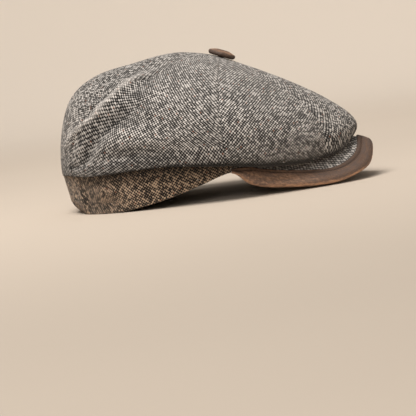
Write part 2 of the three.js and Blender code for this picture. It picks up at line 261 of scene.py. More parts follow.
class ClothSettings(bpy.types.PropertyGroup):
    """Sizes and colours of the tweed"""

    wall: length_setting("Wall", "Thickness of the cloth", 0.0020)
    check: length_setting("Check", "Spacing of the light dots along a thread", 0.00262)
    dark: colour_setting("Dark yarn", "Colour of the dark yarn", (0.010, 0.0098, 0.0102))
    light: colour_setting("Light yarn", "Colour of the light yarn", (0.84, 0.785, 0.735))
    rust: colour_setting("Rust fleck", "Colour of the rust flecks", (0.34, 0.11, 0.05))
    # The headband's tint is partly its own darker yarn and partly painted shade and warm bounced light from
    # under the crown
    band_tint: colour_setting("Band tint", "Tone of the headband's yarn", (0.56, 0.44, 0.335))
    fibres: FloatProperty(name="Fibres", description="Loose fibres on each square metre", default=52000)
    fibre_length: length_setting("Fibre length", "Longest loose fibre", 0.0030)
    neps: FloatProperty(name="Neps", description="Woolly specks on each square metre", default=5200)
    nep_size: length_setting("Nep size", "Radius of a woolly speck", 0.00055)


class LeatherSettings(bpy.types.PropertyGroup):
    """Sizes and colours of the leather binding and button"""

    binding_width: length_setting("Binding width", "Width of the binding on the peak", 0.0135)
    binding_below: length_setting("Binding below", "Width of the binding under the peak", 0.0120)
    thickness: length_setting("Thickness", "Thickness of the leather", 0.0013)
    hide: colour_setting("Hide", "Main colour", (0.34, 0.205, 0.138))
    deep: colour_setting("Deep", "Colour of the dark mottling", (0.11, 0.065, 0.044))
    # Also the colour of the painted light along the binding's sides
    worn_and_lit: colour_setting("Worn", "Colour of rubbed edges", (0.60, 0.35, 0.215))
    ash: colour_setting("Ash", "Colour of the greyed grain", (0.085, 0.066, 0.060))
    thread: colour_setting("Thread", "Colour of the stitching", (0.06, 0.038, 0.027))
    stitch_inset: length_setting("Stitch inset", "Stitching from the binding's inner edge", 0.0036)
    stitch_pitch: length_setting("Stitch pitch", "Spacing of stitches", 0.0032)
    stitch_length: length_setting("Stitch length", "Length of a stitch", 0.0025)
    stitch_radius: length_setting("Thread radius", "Half thickness of the thread", 0.00032)


class StageSettings(bpy.types.PropertyGroup):
    """Floor, light and camera"""

    floor: colour_setting("Floor", "Colour of the floor before the cap", (0.39, 0.335, 0.28))
    wall: colour_setting("Wall", "Colour of the backdrop", (0.80, 0.71, 0.615))
    key: power_setting("Key light", "Power of the light over the cap", 47.0)
    fill: power_setting("Fill light", "Power of the light beside the camera", 11.5)
    backdrop: power_setting("Backdrop light", "Power of the light on the backdrop", 18.0)
    sky: FloatProperty(name="Sky", description="Strength of the light from all round", default=0.24)
    distance: length_setting("Distance", "Camera to the aim point", 1.5)
    azimuth: angle_setting("Azimuth", "Camera's turn about the cap", 3)
    elevation: angle_setting("Elevation", "Camera's height angle", 5)
    roll: angle_setting("Roll", "Camera's turn about its own axis", -7.55)
    aim: FloatVectorProperty(
        name="Aim", description="Point at the image's centre", size=3, subtype="XYZ",
        default=(-0.0129, -0.0127, -0.0103),
    )
    view_width: length_setting("View width", "Width of the view at the aim point", 0.362)


# Curves and surfaces


def column(rows, name, at):
    """Smooth curve through one column of a table, level at both ends."""
    knots, values = rows["at"], rows[name]
    slopes = np.zeros_like(values)
    slopes[1:-1] = (values[2:] - values[:-2]) / (knots[2:] - knots[:-2])
    row = np.clip(np.searchsorted(knots, at) - 1, 0, len(knots) - 2)
    span = knots[row + 1] - knots[row]
    t = np.clip((at - knots[row]) / span, 0, 1)
    low = (2 * t**3 - 3 * t**2 + 1) * values[row] + (t**3 - 2 * t**2 + t) * span * slopes[row]
    high = (3 * t**2 - 2 * t**3) * values[row + 1] + (t**3 - t**2) * span * slopes[row + 1]
    return low + high


def points(x, y, z):
    return np.stack(np.broadcast_arrays(x, y, z), axis=-1).astype(float)


def lerp(low, high, share):
    return low + (high - low) * share


def smoothstep(value, low, high):
    t = np.clip((value - low) / (high - low), 0, 1)
    return t * t * (3 - 2 * t)


def bell(distance, width):
    return np.exp(-((distance / width) ** 2))


def bezier(a, b, c, d, t):
    s = 1 - t
    return s**3 * a + 3 * s * s * t * b + 3 * s * t * t * c + t**3 * d


def unit(vectors):
    return vectors / np.maximum(np.linalg.norm(vectors, axis=-1, keepdims=True), 1e-9)


def ripple(place, name):
    """Height of a surface's unevenness at points in space, from a few crossing waves."""
    made = RIPPLES[name]
    draw = np.random.default_rng(made.seed)
    total = np.zeros(place.shape[:-1])
    for wavelength in made.waves:
        direction = draw.normal(size=3)
        direction /= np.linalg.norm(direction)
        total += np.sin(place @ direction * (2 * np.pi / wavelength) + draw.uniform(0, 2 * np.pi))
    return made.height * total / len(made.waves)


def band_outer(angle, share):
    """Point on the headband's outer face: angle round the opening, share of its height."""
    at = np.degrees(np.abs(angle))
    out = column(BAND, "flare", at) * share
    return points(
        HEAD_MIDDLE + (HEAD_HALF_LENGTH + out) * np.cos(angle),
        (HEAD_HALF_WIDTH + out) * np.sin(angle),
        lerp(column(BAND, "rim", at), column(BAND, "top", at), share),
    )


def band_angle(direction):
    """Angle round the opening at which the headband's upper edge lies in a direction from the button."""
    low = np.zeros_like(direction)
    high = np.full_like(direction, np.pi)
    for _ in range(HALVINGS):
        middle = (low + high) / 2
        edge = band_outer(middle, 1)
        short = np.arctan2(edge[..., 1], edge[..., 0]) < np.abs(direction)
        low = np.where(short, middle, low)
        high = np.where(short, high, middle)
    return np.sign(direction) * (low + high) / 2


def crown_plain(turn, place):
    """Crown without its relief. Place is 0 at the button, 1 at the fullest point, 2 at the headband."""
    turn, place = np.broadcast_arrays(np.asarray(turn, float), np.asarray(place, float))
    direction = np.arctan2(np.sin(turn), np.cos(turn))
    at = np.degrees(np.abs(direction))
    value = {name: column(CROWN, name, at) for name in CROWN}
    seam = band_outer(band_angle(direction), 1)
    seam_out = np.hypot(seam[..., 0], seam[..., 1]) - SEAM_LAP
    seam_height = seam[..., 2] + SEAM_CLEARANCE
    reach, full, crest = value["reach"], value["full"], value["crest"]
    dome, under = np.minimum(place, 1), np.maximum(place - 1, 0)
    crest_height = BUTTON_SEAT - BUTTON_TILT * np.cos(direction) * crest
    dome_out = bezier(0, crest, reach + value["swell"], reach, dome)
    dome_height = bezier(BUTTON_SEAT, crest_height, full + value["shoulder"], full, dome)
    under_out = bezier(reach, reach, seam_out + value["ease"], seam_out, under)
    under_height = bezier(full, value["drop"], seam_height + value["ease_rise"], seam_height, under)
    out = np.where(place <= 1, dome_out, under_out)
    height = np.where(place <= 1, dome_height, under_height)
    return points(out * np.cos(direction), out * np.sin(direction), height)


def seam_at(seam, place):
    return lerp(seam.top, seam.hem, np.minimum(place, 1) ** 2)


def turned(degrees, other):
    """Turn from one direction to another, between -180 and 180 degrees."""
    return (degrees - other + 180) % 360 - 180


def dented(dents, degrees, place):
    """How far dents and swellings stand out of a surface."""
    relief = 0
    for dent in dents:
        aside = bell(turned(degrees, dent.at), dent.spread)
        relief = relief + dent.rise * aside * bell(place - dent.place, dent.length)
    return relief


def from_ridge(plain):
    """Distance of points on the plain crown from the ridge, and the ridge's strength beside them."""
    along = np.linspace(RIDGE["at"][0], RIDGE["at"][-1], RIDGE_POINTS)
    line = crown_plain(np.radians(column(RIDGE, "turn", along)), along)
    away = np.linalg.norm(plain[..., None, :] - line, axis=-1)
    down = np.argmin(away, axis=-1) / (RIDGE_POINTS - 1)
    return away.min(axis=-1), smoothstep(down, *RIDGE_GROWS) * (1 - smoothstep(down, *RIDGE_ENDS))


def crown_folds(turn, place, plain):
    """How far the soft folds and dents stand out of the crown."""
    degrees = np.degrees(turn)
    out = np.hypot(plain[..., 0], plain[..., 1])
    relief = dented(DENTS, degrees, place)
    for fold in FOLDS:
        along = np.clip((place - fold.start) / (fold.end - fold.start), 0, 1)
        offset = np.radians(turned(degrees, lerp(fold.at, fold.to, along))) * out
        relief += fold.rise * np.sin(np.pi * along) ** 2 * bell(offset, fold.width)
    away, strength = from_ridge(plain)
    return relief + RIDGE_HEIGHT * strength * bell(away, RIDGE_SPREAD)


def crown_relief(turn, place, plain):
    """How far the cloth stands out of the plain crown: seams, folds, dents and a little unevenness."""
    degrees = np.degrees(turn)
    out = np.hypot(plain[..., 0], plain[..., 1])
    fading = smoothstep(place, *DIP_GROWS) * (1 - smoothstep(place, *DIP_ENDS))
    relief = ripple(plain, "crown") + dented(BACK_SHAPE, degrees, place)
    for seam in SEAMS.values():
        for side in (-1, 1):
            offset = np.radians(turned(degrees, side * seam_at(seam, place))) * out * side
            relief -= seam.dip * fading * bell(offset, SEAM_SPREAD)
            relief -= seam.roll * smoothstep(place, *ROLL_GROWS) * bell(offset, SEAM_ROLL_WIDTH)
            ridge = seam.ridge * fading * smoothstep(place, *SEAM_RIDGE_GROWS)
            relief += ridge * bell(offset - SEAM_RIDGE_OFFSET, SEAM_RIDGE_WIDTH)
    return relief + crown_folds(turn, place, plain)


def normals(surface, turn, place):
    """Directions out of a surface of the crown."""
    across = surface(turn + NUDGE, place) - surface(turn - NUDGE, place)
    below = surface(turn, np.minimum(place + NUDGE, 2))
    above = surface(turn, np.maximum(place - NUDGE, TIP_PLACE - NUDGE))
    return unit(np.cross(below - above, across))


def hollow_shade(upward, behind):
    """Painted shade: full tone where the cloth faces the sky, a little darker where it stands upright, dark
    where it turns under, less so behind.
    """
    under = lerp(UNDER_SHADE, UNDER_SHADE_BEHIND, behind) * smoothstep(-upward, *UNDER_SLOPES)
    return 1 - under - UPRIGHT_SHADE * (1 - smoothstep(upward, *UPRIGHT_SLOPES))


def crown_surface(turn, place):
    plain = crown_plain(turn, place)
    relief = crown_relief(turn, place, plain)
    return plain + normals(crown_plain, turn, place) * relief[..., None]


def lengths(line, axis, spread=1):
    """Distance run along one axis of a grid of points, from its start, times a spread for each point."""
    steps = np.linalg.norm(np.diff(line, axis=axis), axis=-1)
    steps = steps * np.delete(np.broadcast_to(spread, line.shape[:-1]), 0, axis=axis)
    start = np.zeros_like(np.take(steps, [0], axis=axis))
    return np.concatenate([start, np.cumsum(steps, axis=axis)], axis=axis)


def peak_outline(samples):
    """Points along the peak's outline seen from above, evenly spaced."""
    turn = np.radians(np.linspace(-PEAK_END, PEAK_END, OUTLINE_POINTS))
    power = 2 / PEAK_SQUARENESS
    x = PEAK_CENTRE + PEAK_REACH * np.cos(turn) ** power
    y = PEAK_HALF_WIDTH * np.sign(turn) * np.abs(np.sin(turn)) ** power
    run = lengths(np.stack([x, y], axis=-1), 0)
    return np.interp(samples * run[-1], run, x), np.interp(samples * run[-1], run, y)


class PeakSurface:
    """Middle of the peak's thickness: lines from its root on the headband to its outer edge.

    Along is each line's place round the edge, from 0 on the right to 1 on the left. Beside is 1 for the
    lines at the sides of the head and 0 in front. Droop is how far a line's outer end bends down.
    """

    def __init__(self, along):
        self.along = along
        self.root, self.edge, self.camber = self.ends(along)
        self.before = self.ends(np.maximum(along - NUDGE, 0))
        self.after = self.ends(np.minimum(along + NUDGE, 1))
        self.width = np.linalg.norm(self.edge - self.root, axis=-1)
        off_middle = np.abs(along - 0.5)[:, None]
        self.beside = smoothstep(off_middle, *BESIDE_OFF)
        self.droop = DROOP * (1 - smoothstep(off_middle, *DROOP_OFF))

    @staticmethod
    def ends(along):
        x, y = peak_outline(along)
        edge = points(x, y, column(PEAK_EDGE, "height", np.abs(2 * along - 1)))
        aim = np.arctan2(y / HEAD_HALF_WIDTH, (x - HEAD_MIDDLE) / HEAD_HALF_LENGTH)
        at = np.degrees(np.abs(aim))
        rim, top = column(BAND, "rim", at), column(BAND, "top", at)
        root = band_outer(aim, (ROOT_LIFT + PEAK_HALF) / (top - rim))
        root[..., 2] = rim + ROOT_LIFT
        away = (edge - root) * (1, 1, 0)
        reach = np.linalg.norm(away, axis=-1)
        root = root + unit(away) * ROOT_CLEARANCE
        return root, edge, PEAK_CAMBER * np.minimum(1, reach / CAMBER_WIDTH)

    @staticmethod
    def middle(ends, share):
        root, edge, camber = ends
        line = lerp(root[:, None], edge[:, None], share[..., None])
        line[..., 2] += camber[:, None] * 4 * share * (1 - share)
        return line

    def thinning(self):
        """Share of its full thickness that the peak keeps towards both ends, one row for each line."""
        run = lengths(self.edge, 0)
        to_end = np.minimum(run, run[-1] - run)[:, None]
        return lerp(END_THINNESS, 1, smoothstep(to_end, 0, END_LENGTH))

    def at(self, inset, height):
        """Points a distance in from the outer edge and a height over the middle, one row for each line."""
        share = 1 - inset / self.width[:, None]
        held = np.clip(share, 0, 1)
        sideways = self.middle(self.after, held) - self.middle(self.before, held)
        ends = (self.root, self.edge, self.camber)
        further = self.middle(ends, np.minimum(held + SHARE_NUDGE, 1))
        nearer = self.middle(ends, np.maximum(held - SHARE_NUDGE, 0))
        up = unit(np.cross(further - nearer, sideways))
        made = self.middle(ends, share) + up * np.broadcast_to(height, share.shape)[..., None]
        made[..., 2] -= self.droop * np.maximum(1 - inset / DROOP_WIDTH, 0) ** 2
        return made


# Meshes


def grid_faces(rows, columns, start=0, wrap=False):
    """Quads of a grid of points numbered row by row."""
    bands = rows if wrap else rows - 1
    row, step = np.meshgrid(np.arange(bands), np.arange(columns - 1), indexing="ij")
    here = start + row * columns + step
    below = start + ((row + 1) % rows) * columns + step
    return np.stack([here, here + 1, below + 1, below], axis=-1).reshape(-1, 4)


def make_piece(name, place, faces, uv, material, weld=None, tones=None):
    """A mesh piece from points in millimetres, with its UV map and any named tones of its points."""
    weld = np.arange(len(place)) if weld is None else weld
    used, index = np.unique(weld, return_inverse=True)
    mesh = bpy.data.meshes.new(name)
    corners = index[faces]
    mesh.from_pydata((place[used] + TO_FRAME) * MM, [], corners.tolist())
    layer = mesh.uv_layers.new(name=WEAVE)
    layer.data.foreach_set("uv", uv[faces.ravel()].astype(np.float32).ravel())
    for tone, values in (tones or {}).items():
        attribute = mesh.attributes.new(tone, "FLOAT", "POINT")
        attribute.data.foreach_set("value", values[used].astype(np.float32))
    mesh.polygons.foreach_set("use_smooth", np.ones(len(mesh.polygons), bool))
    if mesh_volume(mesh) < 0:
        mesh.flip_normals()
    mesh.materials.append(material)
    piece = bpy.data.objects.new(name, mesh)
    bpy.context.scene.collection.objects.link(piece)
    return piece


def mesh_volume(mesh):
    """Six times the volume that a mesh closes in, below zero where its faces look inwards."""
    co = np.zeros(len(mesh.vertices) * 3)
    mesh.vertices.foreach_get("co", co)
    co = co.reshape(-1, 3)
    mesh.calc_loop_triangles()
    corners = np.zeros(len(mesh.loop_triangles) * 3, int)
    mesh.loop_triangles.foreach_get("vertices", corners)
    a, b, c = co[corners.reshape(-1, 3)].transpose(1, 0, 2)
    return np.einsum("ij,ij->i", a, np.cross(b, c)).sum()


def shell(name, outer, inner, uv, material, tones=None):
    """A closed wall from the grids of its two faces."""
    rows, columns = outer.shape[:2]
    count = rows * columns
    place = np.concatenate([outer.reshape(-1, 3), inner.reshape(-1, 3)])
    front = grid_faces(rows, columns)
    back = grid_faces(rows, columns, count)[:, ::-1]
    number = np.arange(count).reshape(rows, columns)
    border = np.concatenate([number[0, :-1], number[:-1, -1], number[-1, :0:-1], number[:0:-1, 0]])
    following = np.roll(border, -1)
    sides = np.stack([border, border + count, following + count, following], axis=-1)
    faces = np.concatenate([front, back, sides])
    both = np.concatenate([uv.reshape(-1, 2)] * 2)
    tones = {key: np.concatenate([value.ravel()] * 2) for key, value in (tones or {}).items()}
    return make_piece(name, place, faces, both, material, tones=tones)


def finish_piece(piece, slot, *nodes):
    """Puts a finished piece on the cap's body, in the place of its solids."""
    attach(piece, BODY)
    if nodes:
        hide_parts(*nodes)


# Node trees


class Wire:
    """An output in a node tree. Each operator on it adds a Math node."""

    def __init__(self, tree, socket):
        self.tree = tree
        self.socket = socket

    def math(self, operation, first, second=0.0):
        return self.tree.node("ShaderNodeMath", {"operation": operation}, {0: first, 1: second})

    def __add__(self, other):
        return self.math("ADD", self, other)

    def __sub__(self, other):
        return self.math("SUBTRACT", self, other)

    def __rsub__(self, other):
        return self.math("SUBTRACT", other, self)

    def __mul__(self, other):
        return self.math("MULTIPLY", self, other)

    __radd__ = __add__
    __rmul__ = __mul__

    def cos(self):
        return self.math("COSINE", self)

    def floor(self):
        return self.math("FLOOR", self)

    def smooth(self, low, high):
        """A soft step from 0 at a low value to 1 at a high one."""
        sockets = {"Value": self, "From Min": low, "From Max": high}
        return self.tree.node("ShaderNodeMapRange", {"interpolation_type": "SMOOTHSTEP"}, sockets)


class Tree:
    """A node tree that grows by calls of one method."""

    def __init__(self, tree):
        self.tree = tree

    @staticmethod
    def find(sockets, key):
        if isinstance(key, int):
            return sockets[key]
        by_identifier = [s for s in sockets if s.identifier == key]
        return (by_identifier or [s for s in sockets if s.name == key])[0]

    def node(self, kind, settings=None, sockets=None, output=0):
        """A node of a type, with its settings, then the values or links of its sockets."""
        made = self.tree.nodes.new(kind)
        for key, value in (settings or {}).items():
            if key == "stops":
                self.set_stops(made.color_ramp.elements, value)
            else:
                setattr(made, key, value)
        for key, value in (sockets or {}).items():
            socket = self.find(made.inputs, key)
            if isinstance(value, Wire):
                self.tree.links.new(value.socket, socket)
            elif socket.type == "RGBA":
                socket.default_value = (*value, 1.0)[:4]
            else:
                socket.default_value = value
        return Wire(self, self.find(made.outputs, output)) if len(made.outputs) else None

    @staticmethod
    def set_stops(elements, stops):
        while len(elements) < len(stops):
            elements.new(1.0)
        for element, (position, colour) in zip(elements, stops):
            element.position = position
            element.color = (*colour, 1.0)

    def other(self, wire, output):
        """Another output of the node that a wire leaves."""
        return Wire(self, self.find(wire.socket.node.outputs, output))

    def mix(self, factor, a, b, blend="MIX"):
        """A blend of two colours."""
        settings = {"data_type": "RGBA", "blend_type": blend}
        sockets = {"Factor_Float": factor, "A_Color": a, "B_Color": b}
        return self.node("ShaderNodeMix", settings, sockets, "Result_Color")

    def noise(self, vector, scale, detail=2.0, roughness=0.5):
        sockets = {"Vector": vector, "Scale": scale, "Detail": detail, "Roughness": roughness}
        return self.node("ShaderNodeTexNoise", {}, sockets)

    def tone(self, name):
        """A named tone of the mesh's own points."""
        return self.node("ShaderNodeAttribute", {"attribute_name": name}, {}, "Fac")


def new_material(name):
    material = bpy.data.materials.new(name)
    material.use_nodes = True
    material.node_tree.nodes.clear()
    return material, Tree(material.node_tree)


def finish_material(tree, sockets):
    surface = tree.node("ShaderNodeBsdfPrincipled", {}, sockets)
    tree.node("ShaderNodeOutputMaterial", {}, {"Surface": surface})


# Materials

BLACK = (0.0, 0.0, 0.0)
UNDYED = (1.0, 1.0, 1.0)

# UV maps are in millimetres, so the scale of a noise is in waves for each millimetre of cloth or leather.
# The threads wander by a few tenths of a millimetre, and one diagonal of dots is a little stronger.
WANDER_ACROSS = 0.8
WANDER_DOWN = 0.7
DIAGONALS = (0.53, 0.47)
DOT_STRENGTH = 1.2
PATCH_STRENGTH = 0.65
YARN_STRENGTH = 0.4
YARN_PER_SLUB = 0.3
LIGHT_LEVELS = (-0.02, 0.42)
FLECK_STRENGTH = 0.6
FLECK_RADII = (0.025, 0.06)
NAP_AND_LIGHT_STRENGTH = 0.6

# The yarn is more uneven towards the front and the back, by the cosine of the turn off each
SLUB_EXTRA = 1.8
FRONT_COSINES = (0.4, 0.95)
BACK_COSINES = (0.7, 1)

# Strength of the leather's rubbed tone with its painted light, of its greyed tone and of its soiled tone
# with its painted shade, and how far its greyed grain is drawn out
RUB_AND_LIGHT_STRENGTH = 0.8
ASH_STRENGTH = 0.66
SOIL_AND_SHADE_STRENGTH = 0.85
GRAIN_STRETCH = (0.16, 1.0, 1.0)

# Painted light and shade on the backdrop: distances behind the cap's middle and from it over which floor and
# wall change tone, in metres
FLOOR_BRIGHTENS = (-0.75, 0.1)
FAR_FLOOR = 1.6
WALL_STARTS = (0.9, 2.2)


def toned(colour, share):
    return tuple(part * share for part in colour)


def tweed(name, cloth, tint):
    """Salt and pepper tweed: rows of light dots on both diagonals of the thread, in uneven yarn."""
    material, tree = new_material(name)
    uv = tree.node("ShaderNodeUVMap", {"uv_map": WEAVE})
    place = tree.node("ShaderNodeSeparateXYZ", {}, {0: uv})
    wander = tree.noise(uv, 0.16, 3.0)
    wave = 2 * math.pi / (cloth.check / MM)
    across = place + (wander - 0.5) * WANDER_ACROSS
    down = tree.other(place, "Y") + (tree.noise(uv, 0.13, 2.0) - 0.5) * WANDER_DOWN
    first = (across - down) * wave
    second = (across + down) * wave
    dots = first.cos() * DIAGONALS[0] + second.cos() * DIAGONALS[1]
    one_turn = 1 / (2 * math.pi)
    index = {"X": (first * one_turn + 0.5).floor(), "Y": (second * one_turn + 0.5).floor()}
    dot = tree.node("ShaderNodeCombineXYZ", {}, index)
    yarn = tree.node("ShaderNodeTexWhiteNoise", {"noise_dimensions": "2D"}, {"Vector": dot})
    slub = tree.noise(uv, 0.42, 3.0, 0.6)
    patch = tree.noise(uv, 0.07, 3.0, 0.6)
    uneven = tree.tone("slub")
    yarns = (slub - 0.5) * uneven + (yarn - 0.5) * (uneven * YARN_PER_SLUB + YARN_STRENGTH)
    level = dots * DOT_STRENGTH + yarns + (patch - 0.5) * PATCH_STRENGTH
    light = level.smooth(*LIGHT_LEVELS) * (0.5 + yarn * 0.6)
    hairs = tree.noise(uv, 3.1, 2.0, 0.7)
    light_yarn = tree.mix(hairs.smooth(0.25, 0.75), toned(cloth.light, 0.7), cloth.light)
    cloth_colour = tree.mix(light, cloth.dark, light_yarn)
    spots = tree.node("ShaderNodeTexVoronoi", {"voronoi_dimensions": "2D"}, {"Vector": uv, "Scale": 0.07})
    fleck = 1 - spots.smooth(*FLECK_RADII)
    flecked = tree.mix(fleck * FLECK_STRENGTH, cloth_colour, cloth.rust)
    dyed = tree.mix(1.0, flecked, tint, "MULTIPLY")
    # Painted shade from each point's shade tone
    shaded = tree.mix(tree.tone("shade"), BLACK, dyed)
    # Paler where the nap tone is high: raised nap, with painted highlight along the ridge and painted light
    # on the top and the peak
    colour = tree.mix(tree.tone("nap") * NAP_AND_LIGHT_STRENGTH, shaded, toned(cloth.light, 0.6))
    height = dots * 0.5 + light * 0.5 + (hairs - 0.5) * 0.5 + (slub - 0.5) * 0.9
    bump = tree.node("ShaderNodeBump", {}, {"Strength": 0.75, "Distance": 0.00045, "Height": height})
    finish_material(tree, {
        "Base Color": colour,
        "Roughness": 0.96,
        "Specular IOR Level": 0.12,
        "Sheen Weight": 0.16,
        "Sheen Roughness": 0.6,
        "Sheen Tint": (0.9, 0.86, 0.82),
        "Normal": bump,
    })
    return material


def fibre_wool(name, stops):
    """Loose wool in a few tones, chosen by each fibre's own tone."""
    material, tree = new_material(name)
    colour = tree.node("ShaderNodeValToRGB", {"stops": stops}, {"Fac": tree.tone("tone")})
    finish_material(tree, {"Base Color": colour, "Roughness": 0.95, "Specular IOR Level": 0.1})
    return material


def leather(name, hides):
    """Worn brown leather: mottled, finely grained, paler where rubbed and with painted light along the
    binding's sides, darker where dirty and with painted shade under the button's rim, as its tones say.
    """
    material, tree = new_material(name)
    uv = tree.node("ShaderNodeUVMap", {"uv_map": WEAVE})
    mottle = tree.noise(uv, 0.11, 5.0, 0.62)
    cloud = tree.noise(uv, 0.55, 4.0, 0.6)
    pores = tree.node("ShaderNodeTexVoronoi", {"voronoi_dimensions": "2D"}, {"Vector": uv, "Scale": 1.35})
    creases = tree.noise(uv, 1.9, 3.0, 0.7)
    scuff = tree.noise(uv, 0.34, 4.0, 0.7)
    rub = (tree.tone("rub") * 1.25 + (scuff - 0.5) * 0.9).smooth(0.32, 0.95)
    shade = (mottle * 0.6 + cloud * 0.55).smooth(0.38, 0.78)
    speck = tree.noise(uv, 0.95, 2.0, 0.7).smooth(0.3, 0.72)
    body = tree.mix(shade * 0.45 + speck * 0.55, hides.deep, hides.hide)
    grained = tree.mix((creases - 0.35).smooth(0.0, 0.35), toned(hides.deep, 0.55), body)
    # Paler where rubbed, and painted light along the binding's sides
    rubbed = tree.mix(rub * RUB_AND_LIGHT_STRENGTH, grained, hides.worn_and_lit)
    drawn_out = tree.node("ShaderNodeVectorMath", {"operation": "MULTIPLY"}, {0: uv, 1: GRAIN_STRETCH})
    grain = tree.noise(uv, 0.42, 4.0, 0.85) * 0.45 + tree.noise(drawn_out, 0.4, 4.0, 0.8) * 0.55
    greyed = tree.mix((1 - grain.smooth(0.44, 0.56)) * ASH_STRENGTH, rubbed, hides.ash)
    # Darker where soiled, and painted shade under the button's rim
    soiled_and_shaded = tree.mix(tree.tone("soil") * SOIL_AND_SHADE_STRENGTH, greyed, toned(hides.deep, 0.35))
    height = pores * 0.5 + creases * 0.7 + cloud * 0.5
    bump = tree.node("ShaderNodeBump", {}, {"Strength": 0.55, "Distance": 0.00035, "Height": height})
    finish_material(tree, {
        "Base Color": soiled_and_shaded,
        "Roughness": 0.5 + cloud * 0.2 + rub * 0.08,
        "Specular IOR Level": 0.35,
        "Normal": bump,
    })
    return material


def thread(name, hides):
    """Waxed thread with a fine twist."""
    material, tree = new_material(name)
    at = tree.node("ShaderNodeTexCoord", {}, {}, "Object")
    twist = tree.noise(at, 2600.0, 2.0)
    colour = tree.mix(twist, toned(hides.thread, 0.6), toned(hides.thread, 1.6))
    finish_material(tree, {"Base Color": colour, "Roughness": 0.65, "Specular IOR Level": 0.3})
    return material


def backdrop(name, stage):
    """Plain pale paper with a faint unevenness, painted darker on the floor before the cap and paler behind
    it and up the wall, as painted shade and light.
    """
    material, tree = new_material(name)
    at = tree.node("ShaderNodeTexCoord", {}, {}, "Object")
    away = tree.node("ShaderNodeVectorMath", {"operation": "LENGTH"}, {0: at}, "Value")
    cloud = tree.noise(at, 2.2, 3.0)
    behind = tree.other(tree.node("ShaderNodeSeparateXYZ", {}, {0: at}), "Y")
    near = tree.mix(behind.smooth(*FLOOR_BRIGHTENS), stage.floor, toned(stage.floor, FAR_FLOOR))
    uneven = tree.mix(cloud * 0.06, near, BLACK)
    colour = tree.mix(away.smooth(*WALL_STARTS), uneven, stage.wall)
    finish_material(tree, {"Base Color": colour, "Roughness": 0.9, "Specular IOR Level": 0.1})
    return material


def named_material(name, make, *values):
    """A material by name, made the first time that it is asked for."""
    return bpy.data.materials.get(name) or make(name, *values)


def crown_tweed(cloth):
    return named_material("crown_tweed", tweed, cloth, UNDYED)


def yarn_slub(turn):
    """Unevenness of the yarn: more of it in the cloth of the front and the back."""
    ahead = np.cos(turn)
    return 1 + SLUB_EXTRA * np.maximum(smoothstep(ahead, *FRONT_COSINES), smoothstep(-ahead, *BACK_COSINES))


# Pieces

# Cloth faces that loose fibres and specks grow from, as (points, faces)
grown_on = []


def keep_face(outer):
    grown_on.append((outer.reshape(-1, 3), grid_faces(*outer.shape[:2])))


